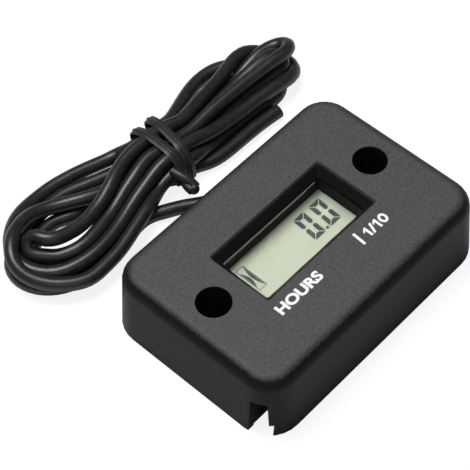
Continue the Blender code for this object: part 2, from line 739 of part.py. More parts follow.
def smooth_route(points, step):
    """Points about a step apart on a smooth curve through the given ones."""
    ends = [2 * points[0] - points[1], *points, 2 * points[-1] - points[-2]]
    route = [points[0]]
    for before, start, end, after in zip(ends, ends[1:], ends[2:], ends[3:]):
        count = max(1, round((end - start).length / step))
        for index in range(1, count + 1):
            t = index / count
            bend = 2 * before - 5 * start + 4 * end - after
            twist = 3 * start - before - 3 * end + after
            route.append(0.5 * (2 * start + (end - before) * t + bend * t ** 2 + twist * t ** 3))
    return route


def lead_points():
    """The lead from its soldered end, through the resin and the wall, and along to the hank."""
    inside = ((LEAD_X, LEAD_INNER_END_Y, OUTLET_HEIGHT), (LEAD_X, RIB_OUTER_Y, OUTLET_HEIGHT))
    return [Vector(point) for point in (*inside, *LEAD_ROUTE)]


def pickup_lead():
    """Insulated wire as a round tube with closed ends."""
    curve = bpy.data.curves.new("pickup_lead", "CURVE")
    curve.dimensions = "3D"
    curve.bevel_depth = LEAD_RADIUS
    curve.bevel_resolution = 2
    curve.use_fill_caps = True
    route = smooth_route(lead_points(), LEAD_STEP)
    spline = curve.splines.new("POLY")
    spline.points.add(len(route) - 1)
    for point, place in zip(spline.points, route):
        point.co = (*place, 1.0)
    made = bpy.data.objects.new("pickup_lead", curve)
    bpy.context.scene.collection.objects.link(made)
    curve.materials.append(material("lead_insulation", (0.022, 0.022, 0.023), 0.42))
    return made


def lead_solder_joint():
    """Stripped core of the lead, bent up into its pad on the board and soldered."""
    top = BOARD_UNDERSIDE - FILM_GAP
    axis = OUTLET_HEIGHT
    end = LEAD_INNER_END_Y - FIT_GAP
    centre = (LEAD_X, end - CORE_LENGTH)
    profile = (
        (SOLDER_RADIUS, top),
        (SOLDER_RADIUS * 0.6, (top + axis) / 2),
        (CORE_RADIUS * 1.2, axis - CORE_RADIUS),
    )
    finish = material("solder", (0.62, 0.62, 0.60), 0.3, 1.0)
    joint = revolve("lead_solder_joint", profile, centre, finish, SMALL_ROUND_STEPS)
    low = (LEAD_X - CORE_RADIUS, centre[1], axis - CORE_RADIUS / 2)
    high = (LEAD_X + CORE_RADIUS, end, axis + CORE_RADIUS)
    fuse(joint, block("core_end", low, high))
    return joint


def blend(share):
    """Smooth step from 0 to 1."""
    share = min(max(share, 0.0), 1.0)
    return share * share * (3 - 2 * share)


def hank_flank(start_x, end_x, side, lobe_x, lobe_half, inset):
    """Points along one flank, between the waist and a lobe."""
    points = []
    for step in range(HANK_STEPS):
        x = start_x + (end_x - start_x) * step / HANK_STEPS
        share = blend((x - HANK_WAIST_X) / (lobe_x - HANK_WAIST_X))
        half = HANK_WAIST_HALF + (lobe_half - HANK_WAIST_HALF) * share - inset
        middle = HANK_WAIST_Y + (HANK_LOBE_Y - HANK_WAIST_Y) * share
        points.append((x, middle + side * half))
    return points


def hank_end(centre_x, half, start_angle, inset):
    """Points round one end, half a turn from an angle."""
    points = []
    for step in range(HANK_STEPS):
        angle = start_angle + step / HANK_STEPS * math.pi
        x = centre_x + (half - inset) * math.cos(angle)
        points.append((x, HANK_LOBE_Y + (half - inset) * math.sin(angle)))
    return points


def hank_ring(inset, height):
    """Two lobes with round ends and a waist at the tie, counter-clockwise from above."""
    left_x = HANK_LEFT_X + HANK_LEFT_HALF
    right_x = HANK_RIGHT_X - HANK_RIGHT_HALF
    points = [
        *hank_flank(left_x, HANK_WAIST_X, -1, left_x, HANK_LEFT_HALF, inset),
        *hank_flank(HANK_WAIST_X, right_x, -1, right_x, HANK_RIGHT_HALF, inset),
        *hank_end(right_x, HANK_RIGHT_HALF, -math.pi / 2, inset),
        *hank_flank(right_x, HANK_WAIST_X, 1, right_x, HANK_RIGHT_HALF, inset),
        *hank_flank(HANK_WAIST_X, left_x, 1, left_x, HANK_LEFT_HALF, inset),
        *hank_end(left_x, HANK_LEFT_HALF, math.pi / 2, inset),
    ]
    return [(x, y, height) for x, y in points]


def lead_hank():
    """Outer shape of the folded lead, raised off the floor where the tie passes under it."""
    rings = []
    for end_height, side in ((0, -1), (HANK_HEIGHT, 1)):
        steps = range(HANK_EDGE_STEPS + 1) if side < 0 else range(HANK_EDGE_STEPS, -1, -1)
        for step in steps:
            angle = step / HANK_EDGE_STEPS * math.pi / 2
            inset = HANK_EDGE * (1 - math.sin(angle))
            height = end_height - side * HANK_EDGE * (1 - math.cos(angle))
            rings.append(hank_ring(inset, height))
    finish = material("hank_insulation", (0.022, 0.022, 0.023), 0.45)
    hank = loft("lead_hank", rings, finish)
    centre = (HANK_WAIST_X, HANK_WAIST_Y)
    width = 4 * HANK_LEFT_HALF
    cut(hank, plate("hank_lift", HANK_LIFT_LENGTH, width, -OVERRUN, HANK_LIFT, centre))
    return hank


def band_section(grow):
    """The tie's path round the waist, seen along X, as (y, z) pairs."""
    bottom = HANK_LIFT - FIT_GAP - grow
    top = HANK_HEIGHT + FIT_GAP + grow
    half = HANK_WAIST_HALF + 2 * FIT_GAP + grow
    crown = HANK_EDGE + grow
    foot = TIE_FOOT_CORNER + grow
    corners = ((1, top, crown), (-1, top, crown), (-1, bottom, foot), (1, bottom, foot))
    points = []
    for quarter, (side, level, radius) in enumerate(corners):
        corner_y = HANK_WAIST_Y + side * (half - radius)
        corner_z = level + (radius if level == bottom else -radius)
        for step in range(TIE_CORNER_STEPS + 1):
            angle = (quarter + step / TIE_CORNER_STEPS) * math.pi / 2
            points.append((corner_y + radius * math.cos(angle), corner_z + radius * math.sin(angle)))
    return points


def tie_band(name, near_x, far_x, finish):
    """One wrap of the flat tie, slanting from the far side of the waist to the near side."""
    near_y = HANK_WAIST_Y - HANK_WAIST_HALF
    far_y = HANK_WAIST_Y + HANK_WAIST_HALF
    slant = (far_x - near_x) / (far_y - near_y)
    bm = bmesh.new()
    loops = []
    for grow, side in ((0, -1), (0, 1), (TIE_THICKNESS, 1), (TIE_THICKNESS, -1)):
        loop = []
        for y, z in band_section(grow):
            x = near_x + slant * (y - near_y) + side * TIE_WIDTH / 2
            loop.append(bm.verts.new((x, y, z)))
        loops.append(loop)
    count = len(loops[0])
    for first, second in zip(loops, loops[1:] + loops[:1]):
        for index in range(count):
            following = (index + 1) % count
            bm.faces.new((first[index], first[following], second[following], second[index]))
    return mesh_object(name, bm, finish)


def tie_tail(finish):
    """The tie's two ends twisted together, pointing at the housing above the lead."""
    start = Vector(TAIL_START)
    end = Vector(TAIL_END)
    across = Vector((1, 0, 0))
    up = Vector((0, 0, 1))
    rings = []
    for step in range(TAIL_STEPS):
        share = step / (TAIL_STEPS - 1)
        turn = share * TAIL_TURNS * math.pi
        side = across * math.cos(turn) + up * math.sin(turn)
        face = up * math.cos(turn) - across * math.sin(turn)
        middle = start.lerp(end, share)
        corners = ((1, 1), (-1, 1), (-1, -1), (1, -1))
        ring = []
        for across_sign, face_sign in corners:
            reach = side * across_sign * TAIL_WIDTH / 2 + face * face_sign * TAIL_THICKNESS / 2
            ring.append(middle + reach)
        rings.append(ring)
    return loft("tie_tail", rings, finish)


def twist_tie():
    finish = material("tie_sleeve", (0.020, 0.020, 0.021), 0.38)
    for number, (near_x, far_x) in enumerate(zip(TIE_NEAR_X, TIE_FAR_X)):
        tie_band(f"tie_band_{number + 1}", near_x, far_x, finish)
    tie_tail(finish)


def build():
    clear_scene()
    housing()
    window_lens()
    lcd_frame()
    display()
    contact_strips()
    circuit_board()
    controller_blob()
    watch_crystal()
    clamp_diode()
    chips()
    coin_cell()
    cell_tabs()
    potting()
    lead_solder_joint()
    pickup_lead()
    lead_hank()
    twist_tie()


build()
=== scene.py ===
"""Looks of the hour meter: moulded housing, display, legends, and the pickup lead in its tied hank.

Metres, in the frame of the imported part: +X runs along the legend, +Y away from it, +Z up.
"""

import math

import bmesh
import bpy
import numpy as np
from mathutils import Matrix, Vector

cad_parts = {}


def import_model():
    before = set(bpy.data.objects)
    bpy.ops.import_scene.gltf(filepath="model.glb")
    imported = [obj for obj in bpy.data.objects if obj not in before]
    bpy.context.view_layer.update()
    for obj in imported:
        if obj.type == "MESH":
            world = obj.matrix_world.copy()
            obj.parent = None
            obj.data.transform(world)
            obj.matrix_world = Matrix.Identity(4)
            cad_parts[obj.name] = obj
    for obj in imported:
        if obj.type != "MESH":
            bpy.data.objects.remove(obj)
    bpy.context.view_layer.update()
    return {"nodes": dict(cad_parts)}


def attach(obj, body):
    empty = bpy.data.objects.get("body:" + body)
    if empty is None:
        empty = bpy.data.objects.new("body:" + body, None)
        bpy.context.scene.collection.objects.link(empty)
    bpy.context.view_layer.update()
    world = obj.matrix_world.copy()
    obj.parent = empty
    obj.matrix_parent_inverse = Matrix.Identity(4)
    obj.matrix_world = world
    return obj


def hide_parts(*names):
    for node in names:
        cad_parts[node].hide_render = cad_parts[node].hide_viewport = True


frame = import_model()

# Camera
CAMERA_PLACE = (-0.14011, -0.12097, 0.26771)
CAMERA_RIGHT = (0.67728, -0.73541, -0.02165)
CAMERA_UP = (0.60249, 0.53750, 0.59000)
CAMERA_LENS = 133.0
CAMERA_SENSOR = 36.0
CAMERA_NEAR = 0.01

# Floor
FLOOR_SIZE = 3.0
FLOOR_TONE = 0.80
FLOOR_ROUGHNESS = 0.9
FLOOR_GLOW = 0.74
FLOOR_GLOW_STRENGTH = 1.15

# Sky, dimmer round the direction that the top face mirrors, and white where the camera sees it
WHITE = (1, 1, 1, 1)
WORLD_LIGHT = 0.14
WORLD_SHADED = 0.02
WORLD_SEEN = 1.0
SHADED_SKY = (0.42226, 0.41264, 0.80711)
SHADED_SKY_EDGE = (0.80, 0.95)

# Lamps, each with its place, size and power
KEY_LAMP = ((-0.04, 0.22, 0.83), 0.40, 6.8)
FILL_LAMP = ((-0.35, -0.45, 0.60), 0.5, 0.6)

# Meshes
MERGE_DISTANCE = 0.000002
ORDER_DIGITS = 7
SMOOTH_ANGLE = math.radians(35)
EDGE_ANGLE = math.radians(50)
FLAT_ANGLE = math.radians(0.5)
BEVEL_SEGMENTS = 2
BEVEL_PROFILE = 0.5
FACE_WEIGHT = 100
STRAND_ROUNDNESS = 4
CURVE_STEPS = 16
OVAL_STEPS = 20

# Noise in the materials, and the parts of its range that make a difference
NOISE_DETAIL = 3.0
NOISE_RANGE = (0.3, 0.7)
MOTTLE_RANGE = (0.35, 0.65)
RELIEF_FINENESS = 2

# Mottled surfaces: dark tone, light tone, roughness, scale of the mottle, depth of relief, metallic
MOTTLED = {
    "lead_insulation": ((0.011, 0.011, 0.011), (0.019, 0.019, 0.018), 0.36, 900.0, 0.00001, 0.0),
    "tie_sleeve": ((0.012, 0.012, 0.012), (0.020, 0.020, 0.020), 0.45, 1500.0, 0.00001, 0.0),
    # Painted highlight: pale tone of the bright lines along the window's far edges
    "painted_glint": ((0.33, 0.33, 0.33), (0.429, 0.429, 0.429), 0.25, 800.0, 0.0, 0.0),
    "marks": ((0.014, 0.020, 0.018), (0.035, 0.045, 0.042), 0.4, 1200.0, 0.0, 0.0),
    "ink": ((0.88, 0.88, 0.88), (0.96, 0.96, 0.96), 0.55, 2500.0, 0.0, 0.0),
    "inner_frame": ((0.006, 0.006, 0.006), (0.009, 0.009, 0.009), 0.6, 3000.0, 0.00001, 0.0),
    "rear_film": ((0.60, 0.63, 0.54), (0.68, 0.70, 0.62), 0.35, 2000.0, 0.0, 0.0),
    "board": ((0.03, 0.17, 0.07), (0.05, 0.22, 0.10), 0.35, 1200.0, 0.00001, 0.0),
    "controller_resin": ((0.010, 0.010, 0.010), (0.016, 0.016, 0.016), 0.2, 400.0, 0.0, 0.0),
    "crystal_can": ((0.66, 0.66, 0.64), (0.74, 0.74, 0.72), 0.28, 900.0, 0.00001, 1.0),
    "diode_glass": ((0.40, 0.11, 0.04), (0.50, 0.17, 0.07), 0.12, 700.0, 0.0, 0.0),
    "capacitor_ceramic": ((0.34, 0.22, 0.13), (0.44, 0.30, 0.18), 0.5, 1800.0, 0.0, 0.0),
    "resistor_body": ((0.02, 0.02, 0.02), (0.04, 0.04, 0.04), 0.3, 1800.0, 0.0, 0.0),
    "cell_steel": ((0.68, 0.68, 0.67), (0.78, 0.78, 0.77), 0.3, 500.0, 0.00001, 1.0),
    "tab_nickel": ((0.60, 0.58, 0.52), (0.70, 0.68, 0.62), 0.3, 900.0, 0.00001, 1.0),
    "solder": ((0.50, 0.50, 0.49), (0.66, 0.66, 0.65), 0.25, 1500.0, 0.00002, 1.0),
    "potting": ((0.008, 0.008, 0.009), (0.013, 0.013, 0.014), 0.18, 150.0, 0.00006, 0.0),
}
INNER_FRAME_SHEEN = 0.1

# Clear surfaces: tint, roughness and index of refraction, with a faint haze that wanders over them
CLEAR = {
    "lens": ((0.97, 0.98, 0.98), 0.01, 1.49),
    "display_glass": ((0.88, 0.94, 0.90), 0.02, 1.52),
}
HAZE_SCALE = 600.0
HAZE_RANGE = (0.4, 0.6)
HAZE_DEPTH = 0.01

# Conductive rubber
STRIP_TONE = (0.10, 0.10, 0.11)
STRIP_DARK = (0.012, 0.012, 0.013)
STRIP_PALE = (0.30, 0.30, 0.31)
STRIP_ROUGHNESS = 0.7
STRIP_LAYERS = 1500.0

# The CAD nodes that show as they are, by the start of their names, with the material of each
NODE_LOOKS = (
    ("window_lens", "lens"),
    ("lcd_frame", "inner_frame"),
    ("lcd_front_polariser", "display_film"),
    ("lcd_front_glass", "display_glass"),
    ("lcd_rear_glass", "display_glass"),
    ("lcd_rear_polariser", "rear_film"),
    ("contact_strip", "contact_rubber"),
    ("circuit_board", "board"),
    ("controller_blob", "controller_resin"),
    ("watch_crystal", "crystal_can"),
    ("clamp_diode", "diode_glass"),
    ("chip_capacitor", "capacitor_ceramic"),
    ("chip_resistor", "resistor_body"),
    ("coin_cell", "cell_steel"),
    ("cell_tab", "tab_nickel"),
    ("lead_solder_joint", "solder"),
    ("potting", "potting"),
)

# Housing: the edge round the window that is rounded, and the tones of walls and top; the top's paler tone is
# partly its grain and partly painted sheen from the overhead light
WINDOW_CENTRE_Y = 0.0011
WINDOW_REACH_Y = 0.0060
WINDOW_FLOOR_Z = 0.0131
RIM_TOLERANCE = 0.00003
RIM_BEVEL = 0.00010
HOUSING_WALL_TONE = (0.009, 0.009, 0.009)
HOUSING_TOP_DARK_WITH_SHEEN = (0.043, 0.043, 0.043)
HOUSING_TOP_LIGHT_WITH_SHEEN = (0.084, 0.084, 0.083)
HOUSING_TOP_FADE = (0.01460, 0.01521)
HOUSING_ROUGHNESS = (0.45, 0.62)
HOUSING_SHEEN = (0.11, 0.38)
WEAR_SCALE = 3000.0
WEAR_DETAIL = 1.0
WEAR_REACH = 0.00022
GRAIN_SCALE = 2700.0
GRAIN_DETAIL = 2.0
GRAIN_RELIEF = 0.00004
DUST_SCALE = 1100.0
DUST_DETAIL = 1.0
DUST_RANGE = (0.79, 0.82)
DUST_TONE = (0.10, 0.10, 0.10)

# Painted highlights: pale strands along the far edges of the lens and of the frame under it, where light
# catches them: name, y, z, radius and the x of both ends
GLINTS = (
    ("lens_glint", 0.00640, 0.01306, 0.000048, (-0.0130, 0.0119)),
    ("frame_glint", 0.00660, 0.01175, 0.00004, (-0.0126, 0.0099)),
)

# Display film, with painted shade near its far and right edges where the walls shadow it
DISPLAY_TOP = 0.0088
DISPLAY_TONE = (0.376, 0.393, 0.300)
DISPLAY_SHADE_TONE = (0.235, 0.245, 0.205)
DISPLAY_FAR_SHADE = (0.0058, 0.0084)
DISPLAY_RIGHT_SHADE = (0.0108, 0.0138)
DISPLAY_ROUGHNESS = 0.35
DISPLAY_SHEEN = 0.2
DISPLAY_MOTTLE_SCALE = 900.0
DISPLAY_MOTTLE = 0.12

# Digits and hourglass sign on the display
MARK_THICKNESS = 0.00002
MARK_GAP = 0.00002
DIGIT_WIDTH = 0.00292
DIGIT_HEIGHT = 0.00607
DIGIT_SLANT = 0.070
SEGMENT_WIDTH = 0.00096
SEGMENT_GAP = 0.00013
LEFT_DIGIT = (0.00408, -0.00078)
RIGHT_DIGIT = (0.00838, -0.00078)
POINT_CENTRE = (0.00775, -0.00044)
POINT_RADIUS = 0.00033
ICON_BOX = (-0.01104, -0.00908, -0.00062, 0.00540)
ICON_LINE = 0.00012
ICON_LEFT_WEDGE = 0.0022
ICON_RIGHT_WEDGE = 0.0029
ICON_CURVE = 1.7
ICON_WAIST = 0.00008
ICON_STEPS = 8
# The pointed end of an upright segment, in widths of the segment: how far its outer and inner
# corners lie back, and how far across its point is
POST_OUTER_CUT = 0.4
POST_INNER_CUT = 0.3
POST_POINT = 0.5
# The wedges begin this far inside the box, in widths of its line
ICON_INSET = 1.5

# Legends
LEGEND_Z = 0.01532
LEGEND_WEIGHT = 0.044
HOURS_BOX = (-0.0153, -0.0042, -0.00995, -0.00768)
TENTHS_PLACE = (0.0077, -0.0104)
FIGURE_HEIGHT = 0.0022
FIGURE_STROKE = 0.00052
ONE_WIDTH = 0.00105
ONE_HOOK = 0.00055
NOUGHT_WIDTH = 0.0018
SLASH_LEAN = 0.0008
FIGURE_STARTS = (0.0, 0.00125, 0.00260, 0.0040)
BAR_BOX = (0.00574, 0.00630, -0.01068, -0.0076)
BAR_LEAN = 0.00022
# The hook of the figure 1, in strokes: how far its top reaches onto the stem, how thick its tip is,
# and how far below the tip's top it meets the stem
HOOK_TOP = 0.3
HOOK_THICKNESS = 0.8
HOOK_JOIN = 0.1

# Twist tie, each wrap with its near x, its far x and the slack corner (y, z) at the far side
TIE_WRAPS = (
    (0.0017, 0.0023, (0.0453, 0.0062)),
    (0.0036, 0.0062, (0.0453, 0.0062)),
)
TIE_WIDTH = 0.0021
TIE_THICKNESS = 0.0004
TIE_EDGE_ROUNDING = 0.35
TIE_SLACK = 0.00005
TIE_LOOK = 0.0024
TIE_STEPS = 72
TIE_ROUNDING = 7
TIE_RIDGE_RADIUS = 0.00028
TAIL_START = (0.0006, 0.0322, 0.0058)
TAIL_END = (0.0006, 0.0270, 0.0042)
TAIL_TURNS = 0.5
TAIL_SWING = 0.00050
TAIL_STEPS = 24
TAIL_RADIUS = 0.00098
KNOB_RADIUS = 0.00125
KNOB_SHAPE = (0.9, 0.8, 0.95, 1)
KNOB_SEGMENTS = 24
KNOB_RINGS = 16

# Lead and its hank
LEAD_RADIUS = 0.00145
LEAD_INNER_END = (0.0135, 0.0060, 0.0023)
LEAD_RIB_POINT = (0.0135, 0.01465, 0.0023)
LEAD_ROUTE = (
    (0.0131, 0.0183, 0.0023),
    (0.0118, 0.0208, 0.0022),
    (0.0098, 0.0228, 0.0020),
    (0.0073, 0.0237, 0.0017),
    (0.0048, 0.02375, 0.0015),
    (0.0025, 0.0240, 0.00145),
    (0.0007, 0.0249, 0.00145),
    (-0.0008, 0.0263, 0.00145),
    (-0.0021, 0.0275, 0.00145),
    (-0.0035, 0.0284, 0.00145),
)
LEAD_STEP = 0.0011

# Where each strand goes through the tie, named by its place in the bundle: (y, z)
TIE_SLOTS = {
    "top_far": (0.0424, 0.0053),
    "top_back": (0.0402, 0.0072),
    "top_middle": (0.0371, 0.0069),
    "top_near": (0.0338, 0.0068),
    "side_near": (0.0318, 0.0052),
    "middle_back": (0.0389, 0.0044),
    "middle_near": (0.0353, 0.0044),
    "bottom_far": (0.0407, 0.0021),
    "bottom_near": (0.0335, 0.0021),
}
TIE_ENTRY_X = -0.0005
TIE_EXIT_X = 0.0062

# Turns of the hank in the order the lead takes them. Each turn leaves the tie by one slot and
# comes back by another, and the first begins where the lead comes from the meter.
FLOOR_TURN = (
    (-0.0052, 0.0296, 0.00145),
    (-0.0068, 0.0306, 0.00145),
    (-0.0080, 0.0316, 0.00145),
    (-0.0092, 0.0322, 0.00145),
    (-0.0136, 0.0322, 0.0015),
    (-0.0159, 0.0319, 0.0015),
    (-0.0180, 0.0316, 0.0015),
    (-0.0202, 0.0311, 0.0015),
    (-0.0221, 0.0309, 0.0015),
    (-0.0244, 0.0306, 0.0015),
    (-0.0270, 0.0308, 0.0014),
    (-0.0296, 0.0313, 0.0014),
    (-0.0324, 0.0330, 0.0015),
    (-0.0340, 0.0353, 0.0015),
    (-0.0346, 0.0375, 0.0015),
    (-0.0345, 0.0396, 0.0015),
    (-0.0331, 0.0416, 0.0015),
    (-0.0308, 0.0435, 0.0015),
    (-0.0277, 0.0446, 0.0015),
    (-0.0236, 0.0462, 0.0015),
    (-0.0196, 0.0467, 0.0015),
    (-0.0157, 0.0465, 0.0015),
    (-0.0119, 0.0449, 0.0015),
    (-0.0081, 0.0433, 0.0016),
    (-0.0040, 0.0416, 0.0017),
)
CROWN_TURN = (
    (0.0123, 0.0391, 0.0022),
    (0.0164, 0.0396, 0.0025),
    (0.0211, 0.0402, 0.0029),
    (0.0255, 0.0405, 0.0034),
    (0.0301, 0.0408, 0.0039),
    (0.0336, 0.0407, 0.0044),
    (0.0365, 0.0403, 0.0048),
    (0.0389, 0.0393, 0.0053),
    (0.0393, 0.0376, 0.0065),
    (0.0378, 0.0358, 0.0077),
    (0.0352, 0.0356, 0.0082),
    (0.0313, 0.0361, 0.0083),
    (0.0275, 0.0364, 0.0083),
    (0.0236, 0.0367, 0.0082),
    (0.0198, 0.0369, 0.0080),
    (0.0162, 0.0370, 0.0078),
    (0.0128, 0.0371, 0.0074),
    (0.0099, 0.0368, 0.0071),
)
INNER_TURN = (
    (-0.0008, 0.0383, 0.0063),
    (-0.0043, 0.0375, 0.0060),
    (-0.0078, 0.0367, 0.0055),
    (-0.0106, 0.0358, 0.0051),
    (-0.0138, 0.0346, 0.0047),
    (-0.0175, 0.0334, 0.0045),
    (-0.0215, 0.0326, 0.0043),
    (-0.0252, 0.0331, 0.0039),
    (-0.0282, 0.0348, 0.0036),
    (-0.0303, 0.0369, 0.0035),
    (-0.0319, 0.0389, 0.0039),
    (-0.0325, 0.0404, 0.0048),
    (-0.0308, 0.0411, 0.0061),
    (-0.0299, 0.0393, 0.0071),
    (-0.0285, 0.0375, 0.0075),
    (-0.0262, 0.0368, 0.0074),
    (-0.0236, 0.0363, 0.0072),
    (-0.0206, 0.0361, 0.0070),
    (-0.0175, 0.0364, 0.0068),
    (-0.0147, 0.0369, 0.0068),
    (-0.0113, 0.0379, 0.0071),
    (-0.0073, 0.0393, 0.0072),
    (-0.0034, 0.0400, 0.0070),
)
WIDE_TURN = (
    (0.0096, 0.0381, 0.0067),
    (0.0130, 0.0388, 0.0065),
    (0.0164, 0.0396, 0.0062),
    (0.0197, 0.0406, 0.0059),
    (0.0228, 0.0414, 0.0056),
    (0.0260, 0.0422, 0.0053),
    (0.0293, 0.0430, 0.0050),
    (0.0322, 0.0430, 0.0047),
    (0.0345, 0.0423, 0.0044),
    (0.0363, 0.0409, 0.0042),
    (0.0374, 0.0392, 0.0041),
    (0.0378, 0.0372, 0.0041),
    (0.0372, 0.0356, 0.0042),
    (0.0355, 0.0345, 0.0044),
    (0.0331, 0.0341, 0.0047),
    (0.0301, 0.0338, 0.0050),
    (0.0265, 0.0337, 0.0054),
    (0.0226, 0.0336, 0.0057),
    (0.0184, 0.0335, 0.0060),
    (0.0142, 0.0334, 0.0063),
    (0.0106, 0.0332, 0.0065),
)
OUTER_TURN = (
    (-0.0007, 0.0341, 0.0064),
    (-0.0042, 0.0333, 0.0059),
    (-0.0078, 0.0327, 0.0054),
    (-0.0116, 0.0318, 0.0050),
    (-0.0152, 0.0308, 0.0045),
    (-0.0189, 0.0299, 0.0042),
    (-0.0225, 0.0296, 0.0041),
    (-0.0257, 0.0304, 0.0039),
    (-0.0290, 0.0316, 0.0037),
    (-0.0316, 0.0338, 0.0036),
    (-0.0331, 0.0366, 0.0036),
    (-0.0332, 0.0397, 0.0037),
    (-0.0315, 0.0424, 0.0038),
    (-0.0291, 0.0445, 0.0036),
    (-0.0260, 0.0468, 0.0032),
    (-0.0228, 0.0482, 0.0029),
    (-0.0192, 0.0488, 0.0027),
    (-0.0162, 0.0490, 0.0027),
    (-0.0129, 0.0485, 0.0026),
    (-0.0097, 0.0478, 0.0028),
    (-0.0065, 0.0467, 0.0030),
    (-0.0035, 0.0455, 0.0033),
    (-0.0006, 0.0444, 0.0038),
)
UNDER_TURN = (
    (0.0104, 0.0428, 0.0044),
    (0.0132, 0.0440, 0.0042),
    (0.0166, 0.0454, 0.0038),
    (0.0206, 0.0468, 0.0033),
    (0.0239, 0.0472, 0.0029),
    (0.0268, 0.0470, 0.0026),
    (0.0292, 0.0461, 0.0023),
    (0.0311, 0.0446, 0.0020),
    (0.0331, 0.0428, 0.0018),
    (0.0345, 0.0407, 0.0016),
    (0.0350, 0.0382, 0.0015),
    (0.0349, 0.0356, 0.0015),
    (0.0338, 0.0334, 0.0015),
    (0.0318, 0.0321, 0.0016),
    (0.0294, 0.0319, 0.0018),
    (0.0262, 0.0326, 0.0021),
    (0.0222, 0.0328, 0.0025),
    (0.0182, 0.0328, 0.0029),
    (0.0137, 0.0328, 0.0034),
    (0.0095, 0.0325, 0.0039),
)
FRONT_TURN = (
    (-0.0004, 0.0328, 0.0045),
    (-0.0033, 0.0332, 0.0042),
    (-0.0066, 0.0323, 0.0042),
    (-0.0101, 0.0314, 0.0042),
    (-0.0137, 0.0309, 0.0042),
    (-0.0173, 0.0299, 0.0044),
    (-0.0208, 0.0290, 0.0047),
    (-0.0240, 0.0285, 0.0050),
    (-0.0272, 0.0279, 0.0052),
    (-0.0298, 0.0291, 0.0053),
    (-0.0320, 0.0308, 0.0054),
    (-0.0339, 0.0331, 0.0055),
    (-0.0350, 0.0359, 0.0057),
    (-0.0354, 0.0387, 0.0061),
    (-0.0342, 0.0410, 0.0064),
    (-0.0323, 0.0430, 0.0066),
    (-0.0298, 0.0446, 0.0063),
    (-0.0269, 0.0455, 0.0059),
    (-0.0239, 0.0458, 0.0054),
    (-0.0210, 0.0445, 0.0051),
    (-0.0180, 0.0429, 0.0049),
    (-0.0153, 0.0410, 0.0048),
    (-0.0121, 0.0397, 0.0046),
    (-0.0088, 0.0386, 0.0045),
    (-0.0053, 0.0376, 0.0044),
)
SMALL_TURN = (
    (0.0113, 0.0378, 0.0045),
    (0.0151, 0.0383, 0.0047),
    (0.0189, 0.0386, 0.0050),
    (0.0226, 0.0387, 0.0053),
    (0.0261, 0.0388, 0.0057),
    (0.0291, 0.0387, 0.0061),
    (0.0320, 0.0386, 0.0063),
    (0.0345, 0.0384, 0.0063),
    (0.0365, 0.0379, 0.0059),
    (0.0377, 0.0370, 0.0052),
    (0.0371, 0.0358, 0.0047),
    (0.0354, 0.0350, 0.0046),
    (0.0329, 0.0349, 0.0048),
    (0.0296, 0.0352, 0.0051),
    (0.0262, 0.0358, 0.0053),
    (0.0223, 0.0360, 0.0052),
    (0.0183, 0.0362, 0.0050),
    (0.0143, 0.0362, 0.0048),
    (0.0108, 0.0359, 0.0046),
)
HIDDEN_TURN = (
    (-0.0025, 0.0389, 0.0024),
    (-0.0063, 0.0394, 0.0019),
    (-0.0105, 0.0403, 0.0017),
    (-0.0146, 0.0411, 0.0015),
    (-0.0183, 0.0419, 0.0015),
    (-0.0217, 0.0442, 0.0015),
    (-0.0256, 0.0445, 0.0015),
    (-0.0297, 0.0428, 0.0015),
    (-0.0310, 0.0395, 0.0015),
    (-0.0300, 0.0357, 0.0015),
    (-0.0275, 0.0332, 0.0015),
    (-0.0246, 0.0318, 0.0015),
    (-0.0212, 0.0309, 0.0017),
    (-0.0179, 0.0305, 0.0020),
    (-0.0146, 0.0307, 0.0022),
    (-0.0114, 0.0316, 0.0023),
    (-0.0079, 0.0327, 0.0023),
    (-0.0045, 0.0338, 0.0022),
    (-0.0006, 0.0350, 0.0021),
)
CUT_END_RUN = (
    (0.0086, 0.0329, 0.0016),
    (0.0124, 0.0324, 0.0015),
    (0.0161, 0.0318, 0.0015),
    (0.0201, 0.0314, 0.0015),
    (0.0242, 0.0311, 0.0015),
    (0.0281, 0.0307, 0.0015),
)
HANK_PATH = (
    (FLOOR_TURN, "bottom_far"),
    (CROWN_TURN, "top_middle"),
    (INNER_TURN, "top_back"),
    (WIDE_TURN, "top_near"),
    (OUTER_TURN, "top_far"),
    (UNDER_TURN, "side_near"),
    (FRONT_TURN, "middle_back"),
    (SMALL_TURN, "middle_near"),
    (HIDDEN_TURN, "bottom_near"),
    (CUT_END_RUN, None),
)

# Settling of the hank: the start of the lead is held, then comes free bit by bit
HELD_LENGTH = 0.026
FREEING_LENGTH = 0.012
SETTLE_ROUNDS = 260
SETTLE_EARLY = 0.8
SETTLE_SINK = 0.00002
SETTLE_PULL = 0.02
SETTLE_SPREAD = 4
NEIGHBOUR_SKIP = 3
PAIR_REFRESH = 5
PAIR_REACH = 1.5
PUSH_ROUNDS = 4
PUSH_SHARE = 0.7
FINAL_SMOOTHING = 4
FOLD_RADIUS = 0.0018
FOLD_ROUNDS = 20
FOLD_SPANS = (2, 3, 4)
FOLD_PUSH = 0.25
TIE_HALF_WIDTH = 0.0052
TIE_CENTRE_Y = 0.0375
HANK_NEAR_Y = 0.0295
TIE_LOW = 0.00205
TIE_HIGH = 0.0072


# Curves and paths


def smooth_through(points, step):
    """Points a step apart on a smooth curve through the given ones."""
    knots = np.array(points, float)
    knots = np.vstack([2 * knots[0] - knots[1], knots, 2 * knots[-1] - knots[-2]])
    fine = []
    for a, b, c, d in zip(knots, knots[1:], knots[2:], knots[3:]):
        slope = c - a
        bend = 2 * a - 5 * b + 4 * c - d
        twist = 3 * b - a - 3 * c + d
        for t in np.linspace(0, 1, CURVE_STEPS, endpoint=False):
            fine.append(0.5 * (2 * b + slope * t + bend * t**2 + twist * t**3))
    fine.append(knots[-2])
    return evenly(np.array(fine), step)


def evenly(points, step):
    """The same course with its points evenly spaced, about a step apart."""
    along = np.concatenate([[0], np.cumsum(np.linalg.norm(np.diff(points, axis=0), axis=1))])
    count = int(round(along[-1] / step)) + 1
    places = np.linspace(0, along[-1], count)
    return np.column_stack([np.interp(places, along, points[:, axis]) for axis in range(points.shape[1])])


